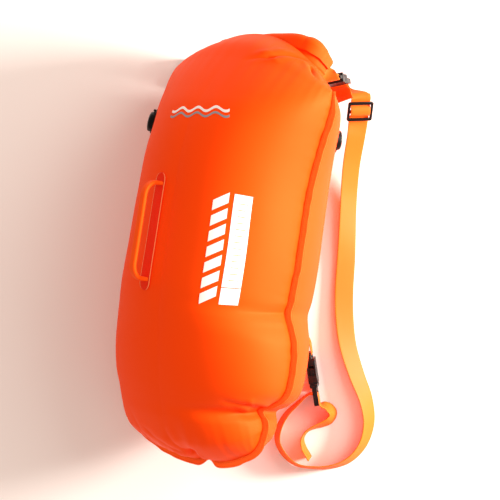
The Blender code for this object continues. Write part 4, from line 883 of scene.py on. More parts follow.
class BUOY_OT_bag(bpy.types.Operator):
    """Both air chambers and the dry sheet between them"""
    bl_idname = "buoy.bag"
    bl_label = "Air chambers"

    def execute(self, context):
        for name, back in (("front", False), ("back", True)):
            piece = skin(name + "_chamber_skin", chamber_grid(back), finish("fabric"), 60)
            stand_in(piece, name + "_air_chamber")
        sheet = sheet_skin("dry_sheet", liner_grid(1), liner_grid(-1), finish("fabric"))
        stand_in(sheet, "dry_compartment_liner")
        return {"FINISHED"}


class BUOY_OT_seam(bpy.types.Operator):
    """The welded band that stands out all round the chambers"""
    bl_idname = "buoy.seam"
    bl_label = "Seam band"

    def execute(self, context):
        stand_in(make_seam_band(), "seam_flange")
        return {"FINISHED"}


# Roll-top: the rows of its path between which its end is folded in facets, how the roll
# swells, shifts and bulges along it, and the collar's neck and pleats
FACETS_START, FACETS_END, FACET_ROWS, FACET_SHARE = 9, 13.8, 1.6, 0.8
ROLL_SWELL, ROLL_SHIFT, BULGE, BULGE_PLACE, BULGE_REACH = 0.012, 0.0004, 0.16, 0.87, 0.06
NECK_SHARE, PLEAT = 0.94, 0.0005


def roll_frames(stations):
    """Middle line of the roll with the ways along, outwards and to the front. Past the
    ninth row it is pulled to straight runs, as the fabric's end folds in facets."""
    size = shape()
    scale = [size.seam_half_width, size.length, size.chamber_height, math.radians(1)]
    table = np.array(ROLL_PATH_SHARES) * scale
    at = np.linspace(0, len(table) - 1, stations)
    values = catmull(table, at)
    bends = np.arange(FACETS_START, len(table), FACET_ROWS)
    flat = read_off(at, bends, read_off(bends, np.arange(len(table)), table))
    inside = np.minimum(at - FACETS_START, FACETS_END - at)
    folded = FACET_SHARE * np.clip(inside, 0, 1)[:, None]
    values = values * (1 - folded) + flat * folded
    line, turn = values[:, :3], values[:, 3]
    along = unit(np.gradient(line, axis=0))
    front = np.stack([np.sin(turn), 0 * turn, np.cos(turn)], axis=1)
    front = unit(front - np.sum(front * along, axis=1)[:, None] * along)
    return line, along, np.cross(front, along), front


def roll_radius(turned):
    """Radius of the ply's middle: it grows by one pitch in each whole turn."""
    part = fittings()
    first = part.stiffener / 2 + 4 * shape().clearance + part.roll_ply / 2
    return first + part.roll_pitch * turned / (2 * math.pi)


def roll_half():
    """Half the straight run between the spiral's centres, with its outer radius."""
    outer = roll_radius(2 * math.pi * fittings().roll_turns)
    return (fittings().roll_width - 2 * outer - fittings().roll_ply) / 2, outer


def roll_section():
    """Flat spiral: its radius grows evenly with the angle turned, about two centres that
    stand a straight run apart; then the same line again on the inner side of the ply."""
    half, _ = roll_half()
    last = 2 * math.pi * fittings().roll_turns
    turned = np.linspace(0, last, int(fittings().roll_turns * 36) + 1)
    angle = math.pi / 2 + turned - last
    side = np.tanh(np.cos(angle) * 14)
    radius = roll_radius(turned)
    rings = []
    for offset in (fittings().roll_ply / 2, -fittings().roll_ply / 2):
        reach = radius + offset
        rings.append(np.stack([half * side + reach * np.cos(angle),
                               reach * np.sin(angle)], axis=1))
    return np.vstack([rings[0], rings[1][::-1]])


def make_roll():
    """The spiral section carried along the roll's line; the whole section swells and
    shifts a little along the roll, as hand-rolled fabric does."""
    line, along, out, front = roll_frames(110)
    ring = roll_section()
    run = travelled(line)
    swell = 1 + ROLL_SWELL * ripples(run, run * 0, 21)
    swell = swell + BULGE * np.exp(-((run / run[-1] - BULGE_PLACE) / BULGE_REACH) ** 2)
    shift = ROLL_SHIFT * ripples(run, run * 0, 22)
    section_points = ring[None] * swell[:, None, None]
    section_points = section_points + shift[:, None, None] * np.array([1.0, 0.4])
    grid = sweep(section_points, line, out, front)
    return skin("roll_top_skin", to_world(grid), finish("fabric"), 50)


def make_collar():
    """Sheet from the chambers' end up to the roll's first ply: each line across is a
    smooth curve through five points, and both faces stand half a ply off it."""
    size, part = shape(), fittings()
    half, outer = roll_half()
    stations = 90
    line, _, out, front = roll_frames(stations)
    inset = size.band_inset + 2 * size.clearance
    end, before = section(np.array([LAST_ROW, LAST_ROW - 0.65]))
    left = np.array([-(before[2] - inset), before[0] - before[7] * (before[2] - inset)])
    right = np.array([before[1] - inset, before[0] + before[7] * (before[1] - inset)])
    rim_angle = np.linspace(0, math.pi, 60)
    rim = bare_wall(rim_angle, np.full(60, float(LAST_ROW)), True)[::-1]
    t = np.linspace(0, 1, stations)[:, None]
    edge = left * (1 - t) + right * t
    plane = np.tile([0, 0, 1.0], (stations, 1))
    start = np.column_stack([edge[:, 0], edge[:, 1] + size.clearance, 0 * edge[:, 0]])
    neck = edge[:, 0] * NECK_SHARE
    clear = np.interp(neck, rim[:, 0], rim[:, 1])
    past = np.column_stack([neck, np.maximum(clear, edge[:, 1]) + size.sheet, 0 * clear])
    near = line - out * (half + 2 * part.roll_pitch) + front * outer
    meet = line - out * (half + size.clearance) + front * outer
    bend = unit(plane + front)
    rows = np.stack([start, past, (past + near) / 2, near, meet])
    ways = np.stack([plane, plane, bend, front, front])
    at = np.linspace(0, 4, 25)
    rows = np.stack([catmull(rows[:, k], at) for k in range(stations)])
    ways = unit(np.stack([catmull(ways[:, k], at) for k in range(stations)]))
    pleat = PLEAT * ripples(t * 0.16, t * 0, 31) * np.sin(np.linspace(0, math.pi, 25))
    ply = part.roll_ply / 2
    upper = rows + (ply + pleat)[..., None] * ways
    lower = rows + (pleat - ply)[..., None] * ways
    return sheet_skin("collar_skin", to_world(upper), to_world(lower), finish("fabric"))


class BUOY_OT_roll_top(bpy.types.Operator):
    """The rolled mouth of the dry bag, its collar and the strip inside it"""
    bl_idname = "buoy.roll_top"
    bl_label = "Roll-top"

    def execute(self, context):
        roll, collar = make_roll(), make_collar()
        stand_in(roll, "roll_top_roll")
        stand_in(collar, "roll_top_collar")
        refit("roll_top_stiffener", "strip", "bag")
        return {"FINISHED"}


# Handle and patches: the rim that is rounded down, the bead's height, its place in from
# the rim and its width, and how deep a patch reaches under the wall
RIM, BEAD, BEAD_PLACE, BEAD_WIDTH, PATCH_DEPTH = 0.0008, 0.0003, 0.0022, 0.0006, 0.0002


def patch_grids(angle, middle, length, width, thickness, back, rows, columns):
    """Stadium-shaped patch on the wall: its half width falls to the ends as a circle's
    does, its rim is rounded down, and a raised bead runs inside the rim."""
    radius = shape().chamber_height
    half_length, half_width = length / 2, width / 2
    t = np.sin(np.linspace(-1, 1, rows) * math.pi / 2)
    past = (np.abs(t) * half_length - (half_length - half_width)) / half_width
    reach = half_width * np.sqrt(np.maximum(1 - np.clip(past, 0, 1) ** 2, 0.02))
    share = np.sin(np.linspace(-1, 1, columns) * math.pi / 2)
    angles = angle + share[None] * reach[:, None] / radius
    along = np.broadcast_to((middle + t * half_length)[:, None], angles.shape)
    place = place_of(along)
    rim = np.minimum(reach[:, None] * (1 - np.abs(share[None])),
                     half_length * (1 - np.abs(t))[:, None] + 0 * angles)
    crown = thickness * np.clip(rim / RIM, 0, 1) ** 0.5
    crown = crown + BEAD * np.exp(-((rim - BEAD_PLACE) / BEAD_WIDTH) ** 2)
    normal = wall_normal(angles, place, back)
    upper = wall(angles, place, back) + crown[..., None] * normal
    lower = wall(angles, place, back, -PATCH_DEPTH)
    return to_world(upper), to_world(lower)


def make_grip():
    """Rounded flat bar carried up, round two corners and along: the path is a rectangle
    with turned corners standing on the wall, and the bar widens towards its feet."""
    part = fittings()
    radius, thick = GRIP_CORNER, part.grip_thickness / 2
    half = part.grip_length / 2 - thick
    top = part.grip_rise - thick
    turn = np.linspace(0, math.pi / 2, 16)
    rise = np.linspace(0, top - radius, 8)[:-1]
    side = np.concatenate([np.stack([0 * rise, rise], 1),
                           np.stack([radius * (1 - np.cos(turn)),
                                     top - radius * (1 - np.sin(turn))], 1)])
    flat = np.linspace(-half + radius, half - radius, 40)[1:-1]
    path = np.concatenate([side + [-half, 0], np.stack([flat, 0 * flat + top], 1),
                           (side * [-1, 1] + [half, 0])[::-1]])
    ways = unit(np.gradient(path, axis=0))
    ways[0], ways[-1] = (0, 1), (0, -1)
    foot = 1 + 0.5 * (1 - np.clip(path[:, 1] / (top - radius), 0, 1))
    along = part.handle_middle + path[:, 0]
    place = place_of(along)
    angle = np.full(len(path), part.handle_angle)
    point = wall(angle, place)
    normal = wall_normal(angle, place, False)
    across = unit(np.cross(normal, [0, 1.0, 0]))
    lengthwise = np.cross(across, normal)
    inwards = -ways[:, 1:] * lengthwise + ways[:, :1] * normal
    ring = rounded_section(part.grip_width / 2, thick, thick * 0.8, 6, 4)
    ring = ring[None] * np.stack([foot, np.ones_like(foot)], 1)[:, None]
    middle = point + (GRIP_LIFT + path[:, 1:]) * normal
    return skin("grip_skin", to_world(sweep(ring, middle, across, inwards)), finish("grip"))


class BUOY_OT_handle(bpy.types.Operator):
    """The carry handle: a welded base and the grip that stands on it"""
    bl_idname = "buoy.handle"
    bl_label = "Carry handle"

    def execute(self, context):
        part = fittings()
        upper, lower = patch_grids(part.handle_angle, part.handle_middle, part.handle_base,
                                   HANDLE_BASE_WIDTH, HANDLE_BASE_RISE, False, 160, 28)
        base = sheet_skin("handle_base_skin", upper, lower, finish("patch"))
        grip = make_grip()
        stand_in(base, "handle_base")
        stand_in(grip, "handle_grip")
        return {"FINISHED"}


# Print

def on_panel(corners, t, w, lift):
    """Point of the front panel inside four corners (angle, place along): t runs from the
    first to the second corner, w towards the fourth."""
    corner = np.array(corners, dtype=float)
    t, w = np.asarray(t)[..., None], np.asarray(w)[..., None]
    spot = ((1 - t) * (1 - w) * corner[0] + t * (1 - w) * corner[1]
            + t * w * corner[2] + (1 - t) * w * corner[3])
    place = place_of(spot[..., 1] * shape().length)
    return to_world(wall(np.radians(spot[..., 0]), place, False, lift))


def cells(t_range, w_range):
    """Grid of t and w, each from a first value to a last one in a number of steps."""
    return np.meshgrid(np.linspace(*t_range), np.linspace(*w_range), indexing="ij")


def print_patch(name, corners, t, w, ink, lift=INK_LIFT):
    """Film of ink from its foot, a hair over the panel's skin, to its lift."""
    upper, lower = on_panel(corners, t, w, lift), on_panel(corners, t, w, INK_FOOT)
    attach(sheet_skin(name, upper, lower, finish(ink), 60), "bag")


class BUOY_OT_print(bpy.types.Operator):
    """Plain bars, a blank ruled label and two wave lines printed on the front panel"""
    bl_idname = "buoy.print"
    bl_label = "Panel print"

    def execute(self, context):
        for name, low, high in (("label_foot", 0.0, 0.150), ("label", 0.158, 1.0)):
            t, w = cells((low, high, int(120 * (high - low)) + 2), (0, 1, 24))
            print_patch(name, LABEL_CORNERS, t, w, "ink")
        for k in range(TICKS):
            low = FIRST_TICK + TICK_STEP * k
            t, w = cells((low, low + TICK_SHARE, 3), (0.30, 0.70 if k % 4 else 0.82, 12))
            print_patch(f"tick_{k + 1}", LABEL_CORNERS, t, w, "thread", TICK_LIFT)
        low = 0.0
        for k in range(BARS):
            t, w = cells((low, low + BAR_SHARE, 16), (0, 1, 20))
            t = t * BAR_REACH + BAR_SLANT * w
            print_patch(f"bar_{k + 1}", BAR_CORNERS, t, w, "ink")
            low += BAR_SHARE + BAR_GAP
        lines = ((0.30, 0.20, "ink"), (0.72, 0.16, "pale_ink"))
        for k, (low, thick, ink) in enumerate(lines):
            t, w = cells((0.02, 0.98, 120), (0, 1, 5))
            wave = low + 0.16 * np.sin(t * 2 * math.pi * 3.5) + (w - 0.5) * thick
            print_patch(f"wave_{k + 1}", WAVE_CORNERS, t, wave, ink)
        return {"FINISHED"}


# Webbing: its least height over the floor, the end that stands off the upper plug, and
# where the line's slant starts to shear it and how much later it does so wholly
FLOOR_GAP, WRAP_TAIL, SHEAR_START, SHEAR_REACH = 0.0001, 0.025, 0.30, 0.35
# Tabs: how far inside the roll they start, and their width there as a share
TAB_INSIDE, TAB_START, TAB_REST = 0.004, 0.62, 0.38


def frame_at(origin, along, across):
    """Right-handed frame: x along, y across made square to it, z their product."""
    x = unit(along)
    y = np.asarray(across, dtype=float)
    y = unit(y - x * (y @ x))
    made = np.eye(4)
    made[:3, :3] = np.stack([x, y, np.cross(x, y)], axis=1)
    made[:3, 3] = origin
    return made


def seat(shares, along, across):
    """Frame of a fitting from its row of shares and ways."""
    return frame_at(np.array(shares) * shape().length, along, across)


def apply(matrix, points):
    """Points turned and moved by a frame."""
    return np.asarray(points) @ matrix[:3, :3].T + matrix[:3, 3]


def even_curve(points, values, step):
    """Centripetal Catmull-Rom curve through the points, then cut at even steps."""
    rows = np.hstack([points, values])
    rows = np.vstack([2 * rows[0] - rows[1], rows, 2 * rows[-1] - rows[-2]])
    gaps = np.sqrt(np.linalg.norm(np.diff(rows[:, :3], axis=0), axis=1))
    knots = added_up(gaps)
    dense = []
    for k in range(1, len(rows) - 2):
        p, t = rows[k - 1:k + 3], knots[k - 1:k + 3]
        at = np.linspace(t[1], t[2], 40)[1 if k > 1 else 0:, None]

        def mix(a, b, low, high):
            return (a * (high - at) + b * (at - low)) / (high - low)

        a1 = mix(p[0], p[1], t[0], t[1])
        a2 = mix(p[1], p[2], t[1], t[2])
        a3 = mix(p[2], p[3], t[2], t[3])
        b1, b2 = mix(a1, a2, t[0], t[2]), mix(a2, a3, t[1], t[3])
        dense.append(mix(b1, b2, t[1], t[2]))
    dense = np.vstack(dense)
    run = travelled(dense[:, :3])
    at = np.linspace(0, run[-1], max(int(round(run[-1] / step)), 2) + 1)
    even = read_off(at, run, dense)
    return even[:, :3], even[:, 3:]


def bezier(a, b, c, d, t):
    """Cubic Bezier curve from a to d, leaving towards b and arriving from c."""
    return ((1 - t) ** 3 * a + 3 * (1 - t) ** 2 * t * b + 3 * (1 - t) * t ** 2 * c
            + t ** 3 * d)


def band_ring():
    """The webbing's section: a rectangle with turned corners."""
    half, thick = fittings().webbing_width / 2, fittings().webbing_thickness / 2
    return rounded_section(half, thick, thick * 0.85, 4, 10)


def webbing_grid(places, widths, scale=None):
    """The webbing's rounded section carried along its line, square to it but for where
    the line runs the webbing's own way across, as on a slanting fold, and there sheared.
    It is kept over the floor."""
    along = unit(np.gradient(places, axis=0))
    widths = unit(widths)
    lined = np.sum(widths * along, axis=1)[:, None]
    square = 1 - smooth((np.abs(lined) - SHEAR_START) / SHEAR_REACH)
    across = unit(widths - square * lined * along)
    up = unit(np.cross(along, across))
    if scale is not None:
        across = across * scale[:, None]
    grid = sweep(band_ring(), places, across, up)
    grid[..., 2] = np.maximum(grid[..., 2], FLOOR_GAP)
    return grid


def ribbon(name, grid):
    return skin(name, grid, finish("webbing"), 55)


def ply_bend(bar):
    """From a bar's axis to the middle of the webbing that goes round it."""
    return bar / 2 + shape().clearance + fittings().webbing_thickness / 2


def floor_run(shares):
    """Webbing on the floor: its height is that of its leaning half width and the share
    that it is held up, so that its lower edge just touches."""
    table, length = np.array(shares), shape().length
    flat = table[:, :2] * length
    along = unit(np.gradient(flat, axis=0))
    outwards = np.stack([-along[:, 1], along[:, 0]], axis=1)
    lean = np.radians(table[:, 2])
    half, thick = fittings().webbing_width / 2, fittings().webbing_thickness / 2
    height = (shape().clearance + half * np.sin(lean) + thick * np.cos(lean)
              + table[:, 3] * length)
    sides = np.column_stack([outwards * np.cos(lean)[:, None], -np.sin(lean)])
    return np.column_stack([flat, height]), sides


def strap_chain():
    """Points of the strap's line with its ways across: the upper buckle's wraps, the
    adjuster's weave, the run on the floor, the lower buckle's wraps and the loose tail.
    Marks are the points where one piece of the strap ends and the next one starts."""
    slot = LADDER + LADDER_SLOT / 2
    bar = LADDER + LADDER_SLOT + LADDER_BAR / 2
    end = bar + LADDER_BAR / 2 + LADDER_SLOT_2 + END_BAR / 2
    gap = shape().clearance
    bend, wrap = ply_bend(LADDER_BAR) + gap, ply_bend(END_BAR) + gap
    points, sides = [], []

    def put(matrix, local, side=(0, 1, 0)):
        for p in local:
            points.append(apply(matrix, p))
            sides.append(matrix[:3, :3] @ np.array(side, dtype=float))

    upper, lower, weave = seat(*UPPER_BUCKLE), seat(*LOWER_BUCKLE), seat(*ADJUSTER)
    ladder = [(slot, 0, bend * 1.1), (slot, 0, 0), (slot + bend * 0.35, 0, -bend * 0.75),
              (bar, 0, -bend), (end - wrap * 0.5, 0, -wrap * 0.95), (end, 0, -wrap)]
    tail, aside = WRAP_TAIL, fittings().webbing_width * 0.38
    put(upper, [(slot - tail * 0.68, aside, tail),
                (slot - tail * 0.44, aside * 0.85, tail * 0.8)], (-0.55, 0.83, 0))
    put(upper, [(slot - tail * 0.18, aside * 0.4, tail * 0.45)], (-0.2, 0.95, 0))
    put(upper, [(slot, 0, bend * 2.2)] + ladder
        + [(end + wrap * 0.71, 0, -wrap * 0.71), (end + wrap, 0, 0),
           (end + wrap * 0.85, 0, wrap * 0.9), (end + wrap * 1.6, 0, wrap * 2)])
    wrapped = len(points) - 2
    rail = ADJUSTER_LENGTH / 2 - ADJUSTER_RAIL / 2
    over = ADJUSTER_THICKNESS / 2 + 2 * gap + fittings().webbing_thickness / 2
    leave, arrive = points[-1], apply(weave, (-rail - 2 * ADJUSTER_RAIL, 0, -over))
    for t in (0.25, 0.5, 0.75):
        points.append(bezier(leave, leave + 0.005 * upper[:3, 2],
                             arrive - 0.009 * weave[:3, 0], arrive, t))
        sides.append(unit(upper[:3, 1] * (1 - t) + weave[:3, 1] * t))
    marks = [wrapped, len(points) - 2, len(points)]
    middle = (ADJUSTER_BAR / 2 + ADJUSTER_LENGTH / 2 - ADJUSTER_RAIL) / 2
    half = [(rail + 2 * ADJUSTER_RAIL, -over), (rail, -over),
            (middle + ADJUSTER_BAR * 0.45, -over * 0.7), (middle, 0),
            (middle - ADJUSTER_BAR * 0.45, over * 0.7)]
    put(weave, [(-a, 0, h) for a, h in half] + [(0, 0, over)]
        + [(a, 0, h) for a, h in half[::-1]])
    marks += [len(points) - 1, len(points) + 1, len(points) + STILL_ROWS]
    down = [(slot, 0, bend * 3)] + ladder + [(end + wrap, 0, -wrap * 1.3)]
    for shares, then in ((STRAP_RUN_SHARES, down), (STRAP_TAIL_SHARES, [])):
        run, run_sides = floor_run(shares)
        points.extend(run)
        sides.extend(run_sides)
        put(lower, then, (0, -1, 0))
    return np.array(points), np.array(sides), marks


def nearest(line, point):
    """Index of the line's point that is nearest."""
    return int(np.argmin(np.linalg.norm(line - point, axis=1)))


class BUOY_OT_strap(bpy.types.Operator):
    """The shoulder strap, in runs that meet where a fitting's motion ends"""
    bl_idname = "buoy.strap"
    bl_label = "Shoulder strap"

    def execute(self, context):
        chain, sides, marks = strap_chain()
        line, ways = even_curve(chain, sides, WEBBING_STEP)
        grid = webbing_grid(line, ways)
        cuts = [0] + [nearest(line, chain[k]) for k in marks] + [len(line) - 1]
        names = ("wrap", "upper", "bridge", "weave", "fall", "run", "lower")
        pieces = [ribbon("strap_" + name, grid[a:b + 1])
                  for name, a, b in zip(names, cuts, cuts[1:])]
        wrap, upper, bridge, weave, fall, middle, lower = pieces
        plug_end, loose, rail, out, hanging, _ = [tuple(chain[k]) for k in marks]
        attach(wrap, "upper_plug")
        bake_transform(upper, "upper_plug", "bag", start=plug_end, end=loose)
        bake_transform(bridge, "bag", "adjuster", start=loose, end=rail)
        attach(weave, "adjuster")
        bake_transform(fall, "adjuster", "bag", start=out, end=hanging)
        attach(middle, "bag")
        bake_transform(lower, "lower_plug", "bag", start=LOOSE_START, end=LOOSE_END)
        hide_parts("strap_webbing")
        return {"FINISHED"}


def loop_line(points, sides, socket):
    """Folded webbing: the path's line shifted by half a ply to one side, half a turn
    round the socket's bar, and the line again on the other side."""
    bend = ply_bend(SOCKET_BAR)
    flat = fittings().webbing_thickness / 2 + shape().clearance / 2
    along = unit(np.gradient(points, axis=0))
    sides = unit(sides - np.sum(sides * along, axis=1)[:, None] * along)
    normal = np.cross(along, sides)
    spread = flat + (bend - flat) * np.linspace(0, 1, len(points))[:, None] ** 4
    out, back = (points + normal * spread)[:-1], (points - normal * spread)[:-1]
    up = 1.0 if normal[-1] @ socket[:3, 2] > 0 else -1.0
    turn = np.linspace(math.pi / 2, -math.pi / 2, 17)
    arc = apply(socket, np.stack([SOCKET_BAR / 2 + bend * np.cos(turn), 0 * turn,
                                  up * bend * np.sin(turn)], axis=1))
    across = np.tile(socket[:3, 1], (len(turn), 1))
    return np.vstack([out, arc, back[::-1]]), np.vstack([sides[:-1], across, sides[-2::-1]])


def roll_tab(name, index, socket):
    """Tab from inside the roll's end to the socket's bar: a cubic Bezier curve that
    leaves along the roll and arrives along the socket, gathered where it leaves."""
    line, along, outwards, _ = roll_frames(17)
    point = to_world(line[index])
    out = world_way(along[index]) * (1 if index else -1)
    across = world_way(outwards[index])
    start = point - out * TAB_INSIDE
    bar = apply(socket, (SOCKET_BAR / 2, 0, 0))
    back, side = socket[:3, 0], socket[:3, 1]
    if across @ side < 0:
        across = -across
    reach = np.linalg.norm(bar - start)
    t = np.linspace(0, 1, 26)[:, None]
    points = bezier(start, start + out * reach * 0.45, bar - back * reach * 0.40, bar, t)
    ease = smooth(t)
    line, ways = loop_line(points, unit(across * (1 - ease) + side * ease), socket)
    wide = TAB_START + TAB_REST * smooth(np.linalg.norm(line - start, axis=1) / reach)
    return ribbon(name, webbing_grid(line, ways, wide))


def anchor_loop(name, socket):
    """Doubled webbing from the anchor patch off the wall and round the lower bar."""
    size = shape()
    lift = 5 * size.clearance + ANCHOR_PLY + fittings().webbing_thickness
    bar = apply(socket, (SOCKET_BAR / 2, 0, 0))
    back, side = socket[:3, 0], socket[:3, 1]
    path, widths = [], []
    for share in (0.3, 0.1, -0.1):
        place = place_of(np.array([ANCHOR[1] + share * ANCHOR_LENGTH]))
        at = np.array([math.radians(ANCHOR[0])])
        normal = wall_normal(at, place, True)[0]
        path.append(to_world(bare_wall(at, place, True)[0] + lift * normal))
        across = np.cross(world_way(normal), (0, 1.0, 0))
        widths.append(across * (1 if across @ side > 0 else -1))
    path.append(path[-1] + world_way(normal * ANCHOR_PLY * 5)
                - np.array([0, ANCHOR_LENGTH / 4, 0]))
    widths.append(widths[-1])
    reach = np.linalg.norm(bar - path[-1])
    path += [bar - back * reach * 0.4, bar]
    widths += [side, side]
    points, ways = even_curve(np.array(path), np.array(widths), WEBBING_STEP)
    return ribbon(name, webbing_grid(*loop_line(points, ways, socket)))


class BUOY_OT_tabs(bpy.types.Operator):
    """The webbing tabs at the roll's ends, the anchor loop and its welded patch"""
    bl_idname = "buoy.tabs"
    bl_label = "Tabs and anchor"

    def execute(self, context):
        upper, lower = patch_grids(math.radians(ANCHOR[0]), ANCHOR[1], ANCHOR_LENGTH,
                                   ANCHOR_WIDTH, ANCHOR_RISE, True, 60, 30)
        patch = sheet_skin("anchor_patch_skin", upper, lower, finish("band"))
        jobs = ((patch, "strap_anchor_patch", "weld_band"),
                (roll_tab("tab_right", -1, seat(*UPPER_BUCKLE)), "roll_tab_right",
                 "orange_webbing"),
                (roll_tab("tab_left", 0, seat(*FREE_BUCKLE)), "roll_tab_left",
                 "orange_webbing"),
                (anchor_loop("anchor_loop_skin", seat(*LOWER_BUCKLE)), "strap_anchor_loop",
                 "orange_webbing"))
        for piece, node, slot in jobs:
            stand_in(piece, node)
        return {"FINISHED"}


# Fittings: rounding of the mouldings' edges, of the valves' and of their inserts', and
# the angle in degrees past which an edge is sharp
ROUNDING, VALVE_ROUNDING, INSERT_ROUNDING = 0.0003, 0.00015, 0.0001
SHARP = 35
# Edges of one ring: how level, how even from the axis and how far round, in radians,
# and the least radius that is rounded
LEVEL, EVEN, LEAST_TURN, MOST_TURN, LEAST_RING = 2e-5, 4e-5, 0.12, 0.45, 0.001
# Corners nearer than this are one, and faces that turn less than this in degrees join
MERGE, FLAT = 0.000002, 1.5


def round_rings(made, turning):
    """Rings about a joint's axis, cut finer and pushed out from chords to true circles."""
    joint = next(j for j in frame["joints"] if j["name"] == turning)
    centre, axis = Vector(joint["pos_m"]), Vector(joint["axis"]).normalized()

    def about(vertex):
        away = vertex.co - centre
        high = away.dot(axis)
        return away - axis * high, high

    rings = {}
    for edge in made.edges:
        (one, low), (two, high) = (about(vertex) for vertex in edge.verts)
        level = abs(low - high) < LEVEL and abs(one.length - two.length) < EVEN
        if level and LEAST_TURN < one.angle(two, 0) < MOST_TURN:
            rings.setdefault((round(one.length, 4), round(low, 4)), []).append(edge)
    whole = [edge for ring in rings.values() if len(ring) > 3 for edge in ring]
    radius = made.verts.layers.float.new("radius")
    for vertex in {vertex for edge in whole for vertex in edge.verts}:
        vertex[radius] = about(vertex)[0].length
    bmesh.ops.subdivide_edges(made, edges=whole, cuts=3)
    for vertex in made.verts:
        out, high = about(vertex)
        if vertex[radius] > LEAST_RING and out.length > 0.9 * vertex[radius]:
            vertex.co = centre + axis * high + out.normalized() * vertex[radius]
    made.verts.layers.float.remove(radius)


def refit(node, material, body, rounding=ROUNDING, turning=None):
    """A node's own mesh, merged, with its sharp edges turned to a small radius."""
    made = bmesh.new()
    made.from_mesh(frame["nodes"][node].data)
    bmesh.ops.remove_doubles(made, verts=made.verts, dist=MERGE)
    bmesh.ops.dissolve_limit(made, angle_limit=math.radians(FLAT), verts=made.verts,
                             edges=made.edges)
    if turning:
        round_rings(made, turning)
    mesh = bpy.data.meshes.new(node + "_moulded")
    made.to_mesh(mesh)
    made.free()
    for layer in list(mesh.uv_layers):
        mesh.uv_layers.remove(layer)
    mesh.materials.clear()
    piece = piece_of(node + "_moulded", mesh, finish(material), SHARP)
    if rounding:
        edges = piece.modifiers.new("moulded edges", "BEVEL")
        edges.width = rounding
        edges.segments = 2
        edges.limit_method = "ANGLE"
        edges.angle_limit = math.radians(SHARP)
        edges.harden_normals = True
    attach(piece, body)
    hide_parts(node)


class BUOY_OT_fittings(bpy.types.Operator):
    """Buckles, the strap adjuster and both valves"""
    bl_idname = "buoy.fittings"
    bl_label = "Moulded fittings"

    def execute(self, context):
        for side in ("upper", "lower"):
            refit(side + "_buckle_socket", "acetal", "bag")
            refit(side + "_buckle_plug", "acetal", side + "_plug")
            for arm in ("left", "right"):
                refit(f"{side}_buckle_latch_{arm}", "acetal", side + "_plug")
        refit("free_buckle_socket", "acetal", "free_socket")
        refit("strap_adjuster", "acetal", "adjuster")
        for side in ("front", "back"):
            turning = side + "_insert_turn"
            refit(side + "_valve_base", "acetal", "bag", VALVE_ROUNDING, turning)
            refit(side + "_valve_cap", "acetal", side + "_cap", VALVE_ROUNDING, turning)
            refit(side + "_valve_insert", "acetal", side + "_insert", INSERT_ROUNDING)
            refit(side + "_valve_flap", "rubber", side + "_insert", 0, turning)
        return {"FINISHED"}


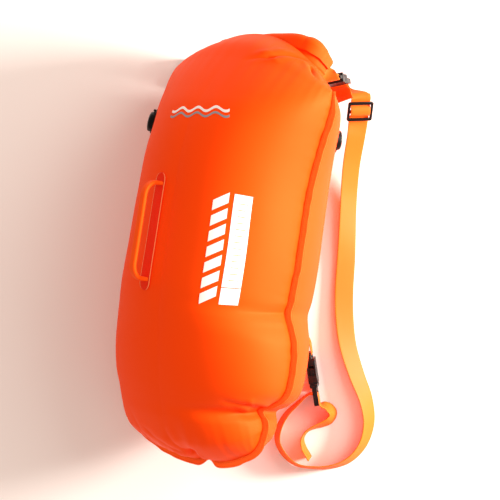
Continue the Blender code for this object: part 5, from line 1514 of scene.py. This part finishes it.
class BUOY_OT_stage(bpy.types.Operator):
    """Pale floor, soft lights and the camera over the bag"""
    bl_idname = "buoy.stage"
    bl_label = "Floor, lights and camera"

    def execute(self, context):
        scene = context.scene
        mesh = bpy.data.meshes.new("floor")
        mesh.from_pydata([(x * FLOOR_SIDE, y * FLOOR_SIDE, FLOOR_HEIGHT) for x, y in
                          ((-1, -1), (1, -1), (1, 1), (-1, 1))], [], [(0, 1, 2, 3)])
        floor = bpy.data.objects.new("floor", mesh)
        scene.collection.objects.link(floor)
        made, tree, shader = new_material("matt_paper")
        shader.inputs["Base Color"].default_value = paint(linear("f8f5f2"))
        shader.inputs["Roughness"].default_value = 0.8
        mesh.materials.append(made)

        camera = bpy.data.objects.new("camera", bpy.data.cameras.new("camera"))
        camera.data.sensor_width = SENSOR
        camera.data.lens = SENSOR / 2 / math.tan(math.radians(HALF_VIEW))
        camera.location = CAMERA_PLACE
        camera.rotation_euler = (0, 0, math.radians(CAMERA_TURN))
        scene.collection.objects.link(camera)
        scene.camera = camera

        for name, place, size, power in (("key", (1.76, 0.51, 0.63), 0.45, 92.0),
                                         ("top", (1.15, 0.90, 1.30), 1.2, 17.0)):
            light = bpy.data.lights.new(name, "AREA")
            light.shape, light.size, light.energy = "SQUARE", size, power
            light.color = linear("fffaf2")
            lamp = bpy.data.objects.new(name, light)
            lamp.location = place
            lamp.rotation_euler = (-Vector(place)).to_track_quat("-Z", "Y").to_euler()
            scene.collection.objects.link(lamp)

        world = bpy.data.worlds.new("studio")
        scene.world = world
        world.use_nodes = True
        tree = world.node_tree
        tree.nodes.clear()
        air, dark, white = (
            add(tree, "Background", {"Color": colour, "Strength": strength})
            for colour, strength in ((WARM_AIR, 0.76), (WARM_AIR, 0.25),
                                     ((1, 1, 1, 1), 1.0)))
        ray = add(tree, "LightPath")
        mix = add(tree, "MixShader", None, {0: ray.outputs["Is Glossy Ray"],
                                            1: air.outputs[0], 2: dark.outputs[0]})
        mix = add(tree, "MixShader", None, {0: ray.outputs["Is Camera Ray"],
                                            1: mix.outputs[0], 2: white.outputs[0]})
        out = add(tree, "OutputWorld")
        tree.links.new(mix.outputs[0], out.inputs["Surface"])
        scene.view_settings.view_transform = "Standard"
        return {"FINISHED"}


class BUOY_PT_panel(bpy.types.Panel):
    """Sidebar panel with every step of the dressing"""
    bl_idname = "BUOY_PT_panel"
    bl_label = "Swim buoy"
    bl_space_type = "VIEW_3D"
    bl_region_type = "UI"
    bl_category = "Swim buoy"

    def draw(self, context):
        for step in STEPS:
            self.layout.operator(step.bl_idname)
        for group in (shape(), fittings(), colours()):
            box = self.layout.box()
            for name in group.__annotations__:
                box.prop(group, name)


STEPS = (BUOY_OT_stage, BUOY_OT_bag, BUOY_OT_seam, BUOY_OT_roll_top, BUOY_OT_handle,
         BUOY_OT_print, BUOY_OT_strap, BUOY_OT_tabs, BUOY_OT_fittings)
CLASSES = (BuoyShape, BuoyFittings, BuoyColours) + STEPS + (BUOY_PT_panel,)


def register():
    for cls in CLASSES:
        bpy.utils.register_class(cls)
    bpy.types.Scene.buoy_shape = bpy.props.PointerProperty(type=BuoyShape)
    bpy.types.Scene.buoy_fittings = bpy.props.PointerProperty(type=BuoyFittings)
    bpy.types.Scene.buoy_colours = bpy.props.PointerProperty(type=BuoyColours)


def unregister():
    del bpy.types.Scene.buoy_shape
    del bpy.types.Scene.buoy_fittings
    del bpy.types.Scene.buoy_colours
    for cls in reversed(CLASSES):
        bpy.utils.unregister_class(cls)


def main():
    register()
    for step in STEPS:
        group, name = step.bl_idname.split(".")
        getattr(getattr(bpy.ops, group), name)()


if __name__ == "__main__":
    main()
